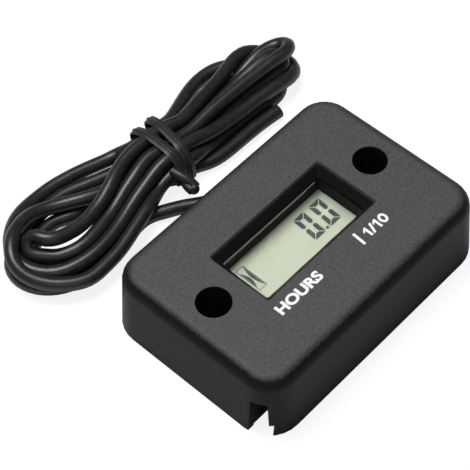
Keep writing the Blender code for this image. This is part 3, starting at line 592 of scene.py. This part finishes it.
def course_length(points):
    return float(np.linalg.norm(np.diff(points, axis=0), axis=1).sum())


def hull(points):
    """The points of the convex outline round the given flat points, in turning order."""
    ordered = sorted(map(tuple, points))
    sides = []
    for run in (ordered, ordered[::-1]):
        side = []
        for point in run:
            while len(side) > 1 and turn(side[-2], side[-1], point) <= 0:
                side.pop()
            side.append(point)
        sides += side[:-1]
    return np.array(sides)


def turn(a, b, c):
    """Above nought where the way from a through b to c turns left."""
    return (b[0] - a[0]) * (c[1] - a[1]) - (b[1] - a[1]) * (c[0] - a[0])


def oval(centre, across, along):
    """A closed oval from its half-widths."""
    angles = [step * math.tau / OVAL_STEPS for step in range(OVAL_STEPS)]
    return [(centre[0] + across * math.cos(angle), centre[1] + along * math.sin(angle)) for angle in angles]


def box_outline(low_x, high_x, low_y, high_y):
    return ((low_x, low_y), (high_x, low_y), (high_x, high_y), (low_x, high_y))


# Building pieces


def show(name, data, material):
    """A new object in the scene, with its material."""
    piece = bpy.data.objects.new(name, data)
    data.materials.append(material)
    bpy.context.collection.objects.link(piece)
    return piece


def finished(piece):
    """Fixes the piece to the meter."""
    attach(piece, "root")
    return piece


def strand(name, points, radius, material, closed=False):
    """A round cord along the points."""
    curve = bpy.data.curves.new(name, "CURVE")
    curve.dimensions = "3D"
    curve.bevel_depth = radius
    curve.bevel_resolution = STRAND_ROUNDNESS
    curve.use_fill_caps = True
    spline = curve.splines.new("POLY")
    spline.points.add(len(points) - 1)
    for place, point in zip(spline.points, points):
        place.co = (*point, 1)
    spline.use_cyclic_u = closed
    return show(name, curve, material)


def flat_curve(name, outlines, thickness=0.0):
    """A flat curve filled inside its closed outlines."""
    curve = bpy.data.curves.new(name, "CURVE")
    curve.dimensions = "2D"
    curve.fill_mode = "BOTH"
    curve.extrude = thickness / 2
    for outline in outlines:
        spline = curve.splines.new("POLY")
        spline.points.add(len(outline) - 1)
        for place, (x, y) in zip(spline.points, outline):
            place.co = (x, y, 0, 1)
        spline.use_cyclic_u = True
    return curve


def as_mesh(name, data):
    """The curve or text as a mesh of its own."""
    holder = bpy.data.objects.new(name, data)
    bpy.context.collection.objects.link(holder)
    bpy.context.view_layer.update()
    made = bpy.data.meshes.new_from_object(holder.evaluated_get(bpy.context.evaluated_depsgraph_get()))
    made.name = name
    bpy.data.objects.remove(holder)
    made.materials.clear()
    return made


def flat_shapes(name, groups, thickness=0.0):
    """One mesh of many flat shapes, each from its own group of outlines."""
    build = bmesh.new()
    for outlines in groups:
        build.from_mesh(as_mesh(name, flat_curve(name, outlines, thickness)))
    made = bpy.data.meshes.new(name)
    build.to_mesh(made)
    build.free()
    return made


def merged_copy(node):
    """A copy of a CAD node with its corners joined and its flat faces whole."""
    source = frame["nodes"][node]
    made = source.data.copy()
    made.name = node + "_looks"
    made.materials.clear()
    for kept in ("custom_normal", "sharp_edge", "sharp_face"):
        if kept in made.attributes:
            made.attributes.remove(made.attributes[kept])
    build = bmesh.new()
    build.from_mesh(made)
    bmesh.ops.remove_doubles(build, verts=build.verts, dist=MERGE_DISTANCE)
    bmesh.ops.dissolve_limit(build, angle_limit=FLAT_ANGLE, verts=build.verts, edges=build.edges)
    build.to_mesh(made)
    build.free()
    return made


def bevel(build, edges, offset):
    """Rounds the edges."""
    bmesh.ops.bevel(
        build, geom=edges, offset=offset, segments=BEVEL_SEGMENTS, profile=BEVEL_PROFILE,
        affect="EDGES", material=-1, clamp_overlap=True,
    )


def fix_order(build):
    """Sorts corners, edges and faces by place, as a new sphere has them in no fixed order."""
    for parts, place in (
        (build.verts, lambda vert: vert.co),
        (build.edges, lambda edge: edge.verts[0].co + edge.verts[1].co),
        (build.faces, lambda face: face.calc_center_median()),
    ):
        ordered = sorted(parts, key=lambda part: place(part).to_tuple(ORDER_DIGITS))
        for number, part in enumerate(ordered):
            part.index = number
        parts.sort()


def shade(mesh):
    """Smooth shading, apart from the sharp edges."""
    mesh.shade_smooth()
    mesh.set_sharp_from_angle(angle=SMOOTH_ANGLE)


def even_normals(piece):
    """Keeps flat faces flat beside rounded edges."""
    modifier = piece.modifiers.new("even normals", "WEIGHTED_NORMAL")
    modifier.keep_sharp = True
    modifier.weight = FACE_WEIGHT


# Materials


def plain_material(name, colour, roughness, metallic=0.0):
    material = bpy.data.materials.new(name)
    material.use_nodes = True
    shader = material.node_tree.nodes["Principled BSDF"]
    shader.inputs["Base Color"].default_value = (*colour, 1)
    shader.inputs["Roughness"].default_value = roughness
    shader.inputs["Metallic"].default_value = metallic
    return material


def noise(tree, scale, detail=NOISE_DETAIL):
    """Noise on the piece's own coordinates."""
    place = tree.nodes.new("ShaderNodeTexCoord")
    texture = tree.nodes.new("ShaderNodeTexNoise")
    texture.inputs["Scale"].default_value = scale
    texture.inputs["Detail"].default_value = detail
    tree.links.new(place.outputs["Object"], texture.inputs["Vector"])
    return texture.outputs["Fac"]


def spread(tree, value, low, high, to_low, to_high):
    """A value spread from one range to another, kept inside it."""
    node = tree.nodes.new("ShaderNodeMapRange")
    node.inputs["From Min"].default_value = low
    node.inputs["From Max"].default_value = high
    node.inputs["To Min"].default_value = to_low
    node.inputs["To Max"].default_value = to_high
    tree.links.new(value, node.inputs["Value"])
    return node.outputs["Result"]


def blend(tree, share, first, second):
    """Colour between two, each given as a colour or a socket."""
    node = tree.nodes.new("ShaderNodeMix")
    node.data_type = "RGBA"
    for socket, colour in ((node.inputs[6], first), (node.inputs[7], second)):
        if isinstance(colour, tuple):
            socket.default_value = (*colour, 1)
        else:
            tree.links.new(colour, socket)
    tree.links.new(share, node.inputs["Factor"])
    return node.outputs[2]


def bump(tree, shader, height, distance):
    """Fine relief from a height."""
    node = tree.nodes.new("ShaderNodeBump")
    node.inputs["Distance"].default_value = distance
    node.inputs["Strength"].default_value = 1.0
    tree.links.new(height, node.inputs["Height"])
    tree.links.new(node.outputs["Normal"], shader.inputs["Normal"])


def place_of(tree):
    """The place of the surface, split into X, Y and Z."""
    place = tree.nodes.new("ShaderNodeTexCoord")
    split = tree.nodes.new("ShaderNodeSeparateXYZ")
    tree.links.new(place.outputs["Object"], split.inputs[0])
    return split


def by_ray(tree, ray, usual, other):
    """The usual shader, and the other one for rays of the named kind."""
    path = tree.nodes.new("ShaderNodeLightPath")
    choose = tree.nodes.new("ShaderNodeMixShader")
    tree.links.new(path.outputs[ray], choose.inputs["Fac"])
    tree.links.new(usual.outputs[0], choose.inputs[1])
    tree.links.new(other.outputs[0], choose.inputs[2])
    return choose.outputs[0]


def mottled(name):
    """A surface whose tone wanders between two colours, with fine relief where it has a depth."""
    dark, light, roughness, scale, relief, metallic = MOTTLED[name]
    material = plain_material(name, dark, roughness, metallic)
    tree = material.node_tree
    shader = tree.nodes["Principled BSDF"]
    share = spread(tree, noise(tree, scale), *MOTTLE_RANGE, 0, 1)
    tree.links.new(blend(tree, share, dark, light), shader.inputs["Base Color"])
    if relief:
        bump(tree, shader, noise(tree, scale * RELIEF_FINENESS), relief)
    return material


def housing_material():
    """Black moulded plastic: an eroded top, paler partly for its grain and partly as painted sheen, and
    smoother, darker walls.
    """
    material = plain_material("housing", HOUSING_WALL_TONE, HOUSING_ROUGHNESS[0])
    tree = material.node_tree
    shader = tree.nodes["Principled BSDF"]
    uneven = tree.nodes.new("ShaderNodeMath")
    tree.links.new(place_of(tree).outputs["Z"], uneven.inputs[0])
    wear = spread(tree, noise(tree, WEAR_SCALE, WEAR_DETAIL), *NOISE_RANGE, -WEAR_REACH, 0)
    tree.links.new(wear, uneven.inputs[1])
    top = spread(tree, uneven.outputs[0], *HOUSING_TOP_FADE, 0, 1)
    grain = spread(tree, noise(tree, GRAIN_SCALE, GRAIN_DETAIL), *NOISE_RANGE, 0, 1)
    # The top's paler tones hold painted sheen of the overhead light as well as the grain
    face = blend(tree, grain, HOUSING_TOP_DARK_WITH_SHEEN, HOUSING_TOP_LIGHT_WITH_SHEEN)
    dust = spread(tree, noise(tree, DUST_SCALE, DUST_DETAIL), *DUST_RANGE, 0, 1)
    dusty = blend(tree, dust, face, DUST_TONE)
    tree.links.new(blend(tree, top, HOUSING_WALL_TONE, dusty), shader.inputs["Base Color"])
    tree.links.new(spread(tree, top, 0, 1, *HOUSING_ROUGHNESS), shader.inputs["Roughness"])
    tree.links.new(spread(tree, top, 0, 1, *HOUSING_SHEEN), shader.inputs["Specular IOR Level"])
    bump(tree, shader, noise(tree, GRAIN_SCALE, GRAIN_DETAIL), GRAIN_RELIEF)
    return material


def display_material():
    """Pale grey-green front film, with painted shade near its far and right edges."""
    material = plain_material("display_film", DISPLAY_TONE, DISPLAY_ROUGHNESS)
    tree = material.node_tree
    shader = tree.nodes["Principled BSDF"]
    place = place_of(tree)
    # Painted shade: the film darkens towards the far and right walls of the window
    far = spread(tree, place.outputs["Y"], *DISPLAY_FAR_SHADE, 0, 1)
    right = spread(tree, place.outputs["X"], *DISPLAY_RIGHT_SHADE, 0, 1)
    painted_shade_share = tree.nodes.new("ShaderNodeMath")
    painted_shade_share.operation = "MAXIMUM"
    tree.links.new(far, painted_shade_share.inputs[0])
    tree.links.new(right, painted_shade_share.inputs[1])
    edge = blend(tree, painted_shade_share.outputs[0], DISPLAY_TONE, DISPLAY_SHADE_TONE)
    mottle = spread(tree, noise(tree, DISPLAY_MOTTLE_SCALE), *NOISE_RANGE, 0, DISPLAY_MOTTLE)
    tree.links.new(blend(tree, mottle, edge, DISPLAY_SHADE_TONE), shader.inputs["Base Color"])
    shader.inputs["Specular IOR Level"].default_value = DISPLAY_SHEEN
    return material


def clear_material(name):
    """Clear glass or plastic that lets the lamps through."""
    tint, roughness, refraction = CLEAR[name]
    material = plain_material(name, tint, roughness)
    tree = material.node_tree
    shader = tree.nodes["Principled BSDF"]
    shader.inputs["Transmission Weight"].default_value = 1.0
    shader.inputs["IOR"].default_value = refraction
    haze = spread(tree, noise(tree, HAZE_SCALE), *HAZE_RANGE, roughness, roughness + HAZE_DEPTH)
    tree.links.new(haze, shader.inputs["Roughness"])
    through = tree.nodes.new("ShaderNodeBsdfTransparent")
    through.inputs["Color"].default_value = (*tint, 1)
    surface = tree.nodes["Material Output"].inputs["Surface"]
    tree.links.new(by_ray(tree, "Is Shadow Ray", shader, through), surface)
    return material


def inner_frame_material():
    """Dull black plastic, so that the walls round the display don't mirror it."""
    material = mottled("inner_frame")
    shader = material.node_tree.nodes["Principled BSDF"]
    shader.inputs["Specular IOR Level"].default_value = INNER_FRAME_SHEEN
    return material


def striped_material():
    """Conductive rubber: dark layers between pale ones, across the strip."""
    material = plain_material("contact_rubber", STRIP_TONE, STRIP_ROUGHNESS)
    tree = material.node_tree
    place = tree.nodes.new("ShaderNodeTexCoord")
    layers = tree.nodes.new("ShaderNodeTexWave")
    layers.inputs["Scale"].default_value = STRIP_LAYERS
    tree.links.new(place.outputs["Object"], layers.inputs["Vector"])
    colour = blend(tree, layers.outputs["Fac"], STRIP_DARK, STRIP_PALE)
    tree.links.new(colour, tree.nodes["Principled BSDF"].inputs["Base Color"])
    return material


def node_materials():
    """The materials of the CAD nodes that show as they are, by name."""
    made = {
        "inner_frame": inner_frame_material(),
        "display_film": display_material(),
        "contact_rubber": striped_material(),
    }
    for name in CLEAR:
        made[name] = clear_material(name)
    for _, name in NODE_LOOKS:
        if name not in made:
            made[name] = mottled(name)
    return made


# Meter


def housing():
    mesh = merged_copy("housing")
    build = bmesh.new()
    build.from_mesh(mesh)
    rim = [
        edge for edge in build.edges
        if all(abs(vert.co.z - WINDOW_FLOOR_Z) < RIM_TOLERANCE for vert in edge.verts)
        and all(abs(vert.co.y - WINDOW_CENTRE_Y) < WINDOW_REACH_Y for vert in edge.verts)
        and edge.calc_face_angle(0) > SMOOTH_ANGLE
    ]
    bevel(build, rim, RIM_BEVEL)
    build.to_mesh(mesh)
    build.free()
    shade(mesh)
    piece = show("meter_housing", mesh, housing_material())
    even_normals(piece)
    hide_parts("housing")
    finished(piece)


def window_glints():
    """Pale strands along the far edges of the lens and frame, a painted highlight where light catches those
    edges.
    """
    glint_paint = mottled("painted_glint")
    for name, y, z, radius, (left, right) in GLINTS:
        finished(strand(name, [(left, y, z), (right, y, z)], radius, glint_paint))


def dress_nodes():
    """Gives each CAD node that shows as it is its own material."""
    made = node_materials()
    for start, look in NODE_LOOKS:
        for name, node in frame["nodes"].items():
            if name.startswith(start):
                node.data.materials.clear()
                node.data.materials.append(made[look])


def segment_outlines(left, bottom):
    """Outlines of the six lit segments of a nought, with mitred ends."""
    w, h, t, g = DIGIT_WIDTH, DIGIT_HEIGHT, SEGMENT_WIDTH, SEGMENT_GAP
    bar = ((g, 0), (w - g, 0), (w - t - g, t), (t + g, t))
    tip = h / 2 - g
    post = (
        (0, g),
        (t, t + g),
        (t, tip - POST_INNER_CUT * t),
        (POST_POINT * t, tip),
        (0, tip - POST_OUTER_CUT * t),
    )
    outlines = []
    for shape, across, along in (
        (bar, 1, 1), (bar, 1, -1), (post, 1, 1), (post, 1, -1), (post, -1, 1), (post, -1, -1),
    ):
        outline = []
        for x, y in shape:
            x = x if across > 0 else w - x
            y = y if along > 0 else h - y
            outline.append((left + x + DIGIT_SLANT * y, bottom + y))
        outlines.append(outline)
    return outlines


def icon_outlines():
    """A thin box with an hourglass left clear between two wedges."""
    low_x, high_x, low_y, high_y = ICON_BOX
    line = ICON_LINE
    middle = (low_y + high_y) / 2
    waist = (low_x + high_x) / 2
    inner = box_outline(low_x + line, high_x - line, low_y + line, high_y - line)
    groups = [[box_outline(*ICON_BOX), inner]]
    for side, reach in ((-1, ICON_LEFT_WEDGE), (1, ICON_RIGHT_WEDGE)):
        edge = waist + side * ((high_x - low_x) / 2 - ICON_INSET * line)
        wedge = []
        for step in range(-ICON_STEPS, ICON_STEPS + 1):
            share = step / ICON_STEPS
            depth = (1 - abs(share) ** ICON_CURVE) * (abs(edge - waist) - ICON_WAIST)
            wedge.append((edge - side * depth, middle + share * reach))
        groups.append([wedge])
    return groups


def display_marks():
    segments = [*segment_outlines(*LEFT_DIGIT), *segment_outlines(*RIGHT_DIGIT)]
    point = oval(POINT_CENTRE, POINT_RADIUS, POINT_RADIUS)
    groups = [[outline] for outline in (*segments, point)]
    mesh = flat_shapes("display_marks", groups + icon_outlines(), MARK_THICKNESS)
    mesh.transform(Matrix.Translation((0, 0, DISPLAY_TOP + MARK_THICKNESS / 2 + MARK_GAP)))
    finished(show("display_marks", mesh, mottled("marks")))


def legend(name, body, box, material):
    """Raised ink on the top face, filling the box (low x, high x, low y, high y)."""
    text = bpy.data.curves.new(name, "FONT")
    text.body = body
    text.size = 1.0
    text.offset = LEGEND_WEIGHT
    mesh = as_mesh(name, text)
    corners = np.array([vert.co for vert in mesh.vertices])
    low = corners.min(axis=0)
    high = corners.max(axis=0)
    scale_x = (box[1] - box[0]) / (high[0] - low[0])
    scale_y = (box[3] - box[2]) / (high[1] - low[1])
    to_box = Matrix.Translation((box[0], box[2], LEGEND_Z)) @ Matrix.Diagonal((scale_x, scale_y, 1, 1))
    mesh.transform(to_box @ Matrix.Translation((-low[0], -low[1], 0)))
    finished(show(name, mesh, material))


def tenths_outlines():
    """The figures 1/10, stroke by stroke."""
    height, stroke = FIGURE_HEIGHT, FIGURE_STROKE
    stem = ONE_WIDTH - stroke
    shoulder = height - ONE_HOOK
    one = (
        (stem, 0),
        (ONE_WIDTH, 0),
        (ONE_WIDTH, height),
        (stem + stroke * HOOK_TOP, height),
        (0, shoulder),
        (0, shoulder - stroke * HOOK_THICKNESS),
        (stem, shoulder - stroke * HOOK_JOIN),
    )
    slash = ((0, 0), (stroke, 0), (stroke + SLASH_LEAN, height), (SLASH_LEAN, height))
    middle = (NOUGHT_WIDTH / 2, height / 2)
    nought = (oval(middle, *middle), oval(middle, middle[0] - stroke, middle[1] - stroke))
    groups = []
    for start, figure in zip(FIGURE_STARTS, ((one,), (slash,), (one,), nought)):
        x, y = TENTHS_PLACE
        groups.append([[(x + start + across, y + along) for across, along in outline] for outline in figure])
    return groups


def legends():
    ink = mottled("ink")
    legend("hours_legend", "HOURS", HOURS_BOX, ink)
    low_x, high_x, low_y, high_y = BAR_BOX
    bar = ((low_x, low_y), (high_x, low_y), (high_x + BAR_LEAN, high_y), (low_x + BAR_LEAN, high_y))
    for name, groups in (("tenths_legend", tenths_outlines()), ("bar_legend", [[bar]])):
        mesh = flat_shapes(name, groups)
        mesh.transform(Matrix.Translation((0, 0, LEGEND_Z)))
        finished(show(name, mesh, ink))


# Lead


def hank_course():
    """The lead's course from the solder joint to its cut end, before it settles."""
    points = [LEAD_INNER_END, LEAD_RIB_POINT, *LEAD_ROUTE]
    rightward = True
    for run, slot in HANK_PATH:
        points += run
        if slot:
            y, z = TIE_SLOTS[slot]
            ends = (TIE_ENTRY_X, TIE_EXIT_X) if rightward else (TIE_EXIT_X, TIE_ENTRY_X)
            points += [(ends[0], y, z), (ends[1], y, z)]
            rightward = not rightward
    return smooth_through(points, LEAD_STEP)


def close_pairs(points, reach):
    """Pairs of points on different strands that lie nearer than the reach."""
    gaps = points[:, None, :] - points[None, :, :]
    distance = np.sqrt((gaps**2).sum(axis=2))
    first, second = np.nonzero(np.triu(distance < reach, NEIGHBOUR_SKIP))
    return first, second


def settle(course):
    """Lets the strands sink, push each other apart and lie on the floor, inside the tie."""
    start = course.copy()
    points = course.copy()
    diameter = 2 * LEAD_RADIUS
    held = HELD_LENGTH / LEAD_STEP
    free = np.clip((np.arange(len(points)) - held) / (FREEING_LENGTH / LEAD_STEP), 0, 1)[:, None]
    for round_number in range(SETTLE_ROUNDS):
        points[:, 2] -= SETTLE_SINK * free[:, 0]
        if round_number % PAIR_REFRESH == 0:
            first, second = close_pairs(points, PAIR_REACH * diameter)
        for _ in range(PUSH_ROUNDS):
            between = points[first] - points[second]
            distance = np.sqrt((between**2).sum(axis=1))
            short = np.clip(diameter - distance, 0, None) * 0.5
            push = between / distance[:, None] * short[:, None] * PUSH_SHARE
            shift = np.zeros_like(points)
            count = np.zeros(len(points))
            np.add.at(shift, first, push)
            np.add.at(shift, second, -push)
            np.add.at(count, first, short > 0)
            np.add.at(count, second, short > 0)
            points += shift / np.maximum(count, 1)[:, None] ** 0.5 * free
            keep_off_floor(points)
        moved = points - start
        early = round_number < SETTLE_ROUNDS * SETTLE_EARLY
        for _ in range(SETTLE_SPREAD if early else 1):
            moved = smoothed(moved)
        points = start + moved * (1 - SETTLE_PULL if early else 1)
        gather_in_tie(points)
        keep_off_floor(points)
    for _ in range(FINAL_SMOOTHING):
        points = smoothed(points)
    open_folds(points)
    points = smoothed(points)
    keep_off_floor(points)
    return points


def keep_off_floor(points):
    """Lifts the lead where it would press into the floor."""
    points[:, 2] = np.maximum(points[:, 2], LEAD_RADIUS)


def open_folds(points):
    """Widens the folds that are tighter than the lead can bend."""
    for _ in range(FOLD_ROUNDS):
        for steps in FOLD_SPANS:
            least = 2 * FOLD_RADIUS * math.sin(steps * LEAD_STEP / (2 * FOLD_RADIUS))
            between = points[steps:] - points[:-steps]
            distance = np.sqrt((between**2).sum(axis=1))
            short = np.clip(least - distance, 0, None)
            push = between / distance[:, None] * short[:, None] * FOLD_PUSH
            points[steps:] += push
            points[:-steps] -= push


def smoothed(points):
    """The points, each drawn half-way to the middle of its neighbours."""
    result = points.copy()
    result[1:-1] = 0.5 * points[1:-1] + 0.25 * (points[:-2] + points[2:])
    return result


def gather_in_tie(points):
    """Keeps the strands that pass the tie inside its loop."""
    inside = (points[:, 0] > TIE_ENTRY_X) & (points[:, 0] < TIE_EXIT_X) & (points[:, 1] > HANK_NEAR_Y)
    across = points[inside, 1] - TIE_CENTRE_Y
    points[inside, 1] = TIE_CENTRE_Y + np.clip(across, -TIE_HALF_WIDTH, TIE_HALF_WIDTH)
    points[inside, 2] = np.clip(points[inside, 2], TIE_LOW, TIE_HIGH)


# Twist tie


def wrap_outline(course, near_x, far_x, slack):
    """The tie's path round the strands in one wrap, as (y, z) pairs, with a slack corner at the far side."""
    reach = LEAD_RADIUS + TIE_THICKNESS / 2 + TIE_SLACK
    middle_x = (near_x + far_x) / 2
    around = []
    for x, y, z in course:
        if abs(x - middle_x) < TIE_LOOK and y > HANK_NEAR_Y:
            around += oval((y, z), reach, reach)
    around += [slack]
    outline = hull(around)
    outline[:, 1] = np.maximum(outline[:, 1], TIE_THICKNESS)
    closed = np.vstack([outline, outline[:1]])
    steps = evenly(closed, course_length(closed) / TIE_STEPS)[:-1]
    for _ in range(TIE_ROUNDING):
        steps = 0.5 * steps + 0.25 * (np.roll(steps, 1, axis=0) + np.roll(steps, -1, axis=0))
    return steps


def tie_wrap(name, course, near_x, far_x, slack, material):
    """One wrap of the flat tie, slanting from the near side to the far one, with its wire as a ridge."""
    outline = wrap_outline(course, near_x, far_x, slack)
    near_y, far_y = outline[:, 0].min(), outline[:, 0].max()
    slant = (far_x - near_x) / (far_y - near_y)
    ribbon = flat_curve(name, [outline], TIE_WIDTH)
    ribbon.fill_mode = "NONE"
    mesh = as_mesh(name, ribbon)
    upright = Matrix(((0, 0, 1, 0), (1, 0, 0, 0), (0, 1, 0, 0), (0, 0, 0, 1)))
    lean = Matrix(((1, slant, 0, near_x - slant * near_y), (0, 1, 0, 0), (0, 0, 1, 0), (0, 0, 0, 1)))
    mesh.transform(lean @ upright)
    build = bmesh.new()
    build.from_mesh(mesh)
    bmesh.ops.remove_doubles(build, verts=build.verts, dist=MERGE_DISTANCE)
    bmesh.ops.recalc_face_normals(build, faces=build.faces)
    bmesh.ops.solidify(build, geom=build.faces[:], thickness=TIE_THICKNESS)
    edges = [edge for edge in build.edges if edge.calc_face_angle(0) > EDGE_ANGLE]
    bevel(build, edges, TIE_THICKNESS * TIE_EDGE_ROUNDING)
    build.to_mesh(mesh)
    build.free()
    shade(mesh)
    band = show(name, mesh, material)
    ridge_path = [(near_x + slant * (y - near_y), y, z) for y, z in outline]
    ridge = strand(name + "_wire", ridge_path, TIE_RIDGE_RADIUS, material, closed=True)
    return [finished(band), finished(ridge)]


def tie_tail(material):
    """The tie's two ends twisted round each other, with a turned-over end."""
    start = np.array(TAIL_START)
    end = np.array(TAIL_END)
    axis = (end - start) / np.linalg.norm(end - start)
    side = np.cross(axis, (0, 0, 1))
    side /= np.linalg.norm(side)
    up = np.cross(side, axis)
    pieces = []
    for half in (0, 1):
        path = []
        for share in np.linspace(0, 1, TAIL_STEPS):
            angle = math.pi * half + share * TAIL_TURNS * math.tau
            swing = TAIL_SWING * (side * math.cos(angle) + up * math.sin(angle))
            path.append(start + (end - start) * share + swing)
        run = strand("tie_tail_%d" % (half + 1), path, TAIL_RADIUS, material)
        pieces.append(finished(run))
    knob = bpy.data.meshes.new("tie_knob")
    build = bmesh.new()
    bmesh.ops.create_uvsphere(
        build, u_segments=KNOB_SEGMENTS, v_segments=KNOB_RINGS, radius=KNOB_RADIUS,
    )
    fix_order(build)
    build.to_mesh(knob)
    build.free()
    knob.transform(Matrix.Translation(end) @ Matrix.Diagonal(KNOB_SHAPE))
    knob.shade_smooth()
    pieces.append(finished(show("tie_knob", knob, material)))
    return pieces


def twist_tie(course):
    sleeve = mottled("tie_sleeve")
    pieces = []
    for number, (near_x, far_x, slack) in enumerate(TIE_WRAPS, 1):
        pieces += tie_wrap("tie_wrap_%d" % number, course, near_x, far_x, slack, sleeve)
    pieces += tie_tail(sleeve)
    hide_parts("tie_band_1")
    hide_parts("tie_band_2")
    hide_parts("tie_tail")
    return pieces


def lead_and_tie():
    course = settle(hank_course())
    lead = strand("lead", course, LEAD_RADIUS, mottled("lead_insulation"))
    finished(lead)
    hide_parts("pickup_lead", "lead_hank")
    pieces = twist_tie(course)


# Floor, light and camera


def floor():
    """White paper that also glows where the camera sees it, so that shadows on it stay faint."""
    mesh = bpy.data.meshes.new("floor")
    build = bmesh.new()
    bmesh.ops.create_grid(build, x_segments=1, y_segments=1, size=FLOOR_SIZE / 2)
    build.to_mesh(mesh)
    build.free()
    material = plain_material("floor_paper", (FLOOR_TONE,) * 3, FLOOR_ROUGHNESS)
    piece = show("floor", mesh, material)
    tree = material.node_tree
    paper = tree.nodes["Principled BSDF"]
    paper.inputs["Specular IOR Level"].default_value = 0.0
    glow = tree.nodes.new("ShaderNodeEmission")
    glow.inputs["Strength"].default_value = FLOOR_GLOW_STRENGTH
    seen = tree.nodes.new("ShaderNodeMixShader")
    seen.inputs["Fac"].default_value = FLOOR_GLOW
    tree.links.new(paper.outputs[0], seen.inputs[1])
    tree.links.new(glow.outputs[0], seen.inputs[2])
    surface = tree.nodes["Material Output"].inputs["Surface"]
    tree.links.new(by_ray(tree, "Is Camera Ray", paper, seen), surface)


def world():
    sky = bpy.data.worlds.new("studio")
    sky.use_nodes = True
    tree = sky.node_tree
    light = tree.nodes["Background"]
    light.inputs["Color"].default_value = WHITE
    place = tree.nodes.new("ShaderNodeTexCoord")
    along = tree.nodes.new("ShaderNodeVectorMath")
    along.operation = "DOT_PRODUCT"
    along.inputs[1].default_value = SHADED_SKY
    tree.links.new(place.outputs["Generated"], along.inputs[0])
    shaded = spread(tree, along.outputs["Value"], *SHADED_SKY_EDGE, WORLD_LIGHT, WORLD_SHADED)
    tree.links.new(shaded, light.inputs["Strength"])
    seen = tree.nodes.new("ShaderNodeBackground")
    seen.inputs["Color"].default_value = WHITE
    seen.inputs["Strength"].default_value = WORLD_SEEN
    surface = tree.nodes["World Output"].inputs["Surface"]
    tree.links.new(by_ray(tree, "Is Camera Ray", light, seen), surface)
    bpy.context.scene.world = sky


def softbox(name, place, size, power):
    """A square lamp aimed at the meter."""
    lamp = bpy.data.lights.new(name, "AREA")
    lamp.shape = "SQUARE"
    lamp.size = size
    lamp.energy = power
    piece = bpy.data.objects.new(name, lamp)
    aim = (-Vector(place)).to_track_quat("-Z", "Y")
    piece.matrix_world = Matrix.Translation(place) @ aim.to_matrix().to_4x4()
    bpy.context.collection.objects.link(piece)


def camera():
    right = Vector(CAMERA_RIGHT)
    up = Vector(CAMERA_UP)
    lens = bpy.data.cameras.new("camera")
    lens.lens = CAMERA_LENS
    lens.sensor_width = CAMERA_SENSOR
    lens.clip_start = CAMERA_NEAR
    piece = bpy.data.objects.new("camera", lens)
    stand = Matrix((right, up, right.cross(up))).transposed().to_4x4()
    piece.matrix_world = Matrix.Translation(CAMERA_PLACE) @ stand
    bpy.context.collection.objects.link(piece)
    bpy.context.scene.camera = piece


bpy.context.scene.view_settings.view_transform = "Standard"
camera()
floor()
world()
softbox("key", *KEY_LAMP)
softbox("fill", *FILL_LAMP)
lead_and_tie()
housing()
window_glints()
dress_nodes()
display_marks()
legends()
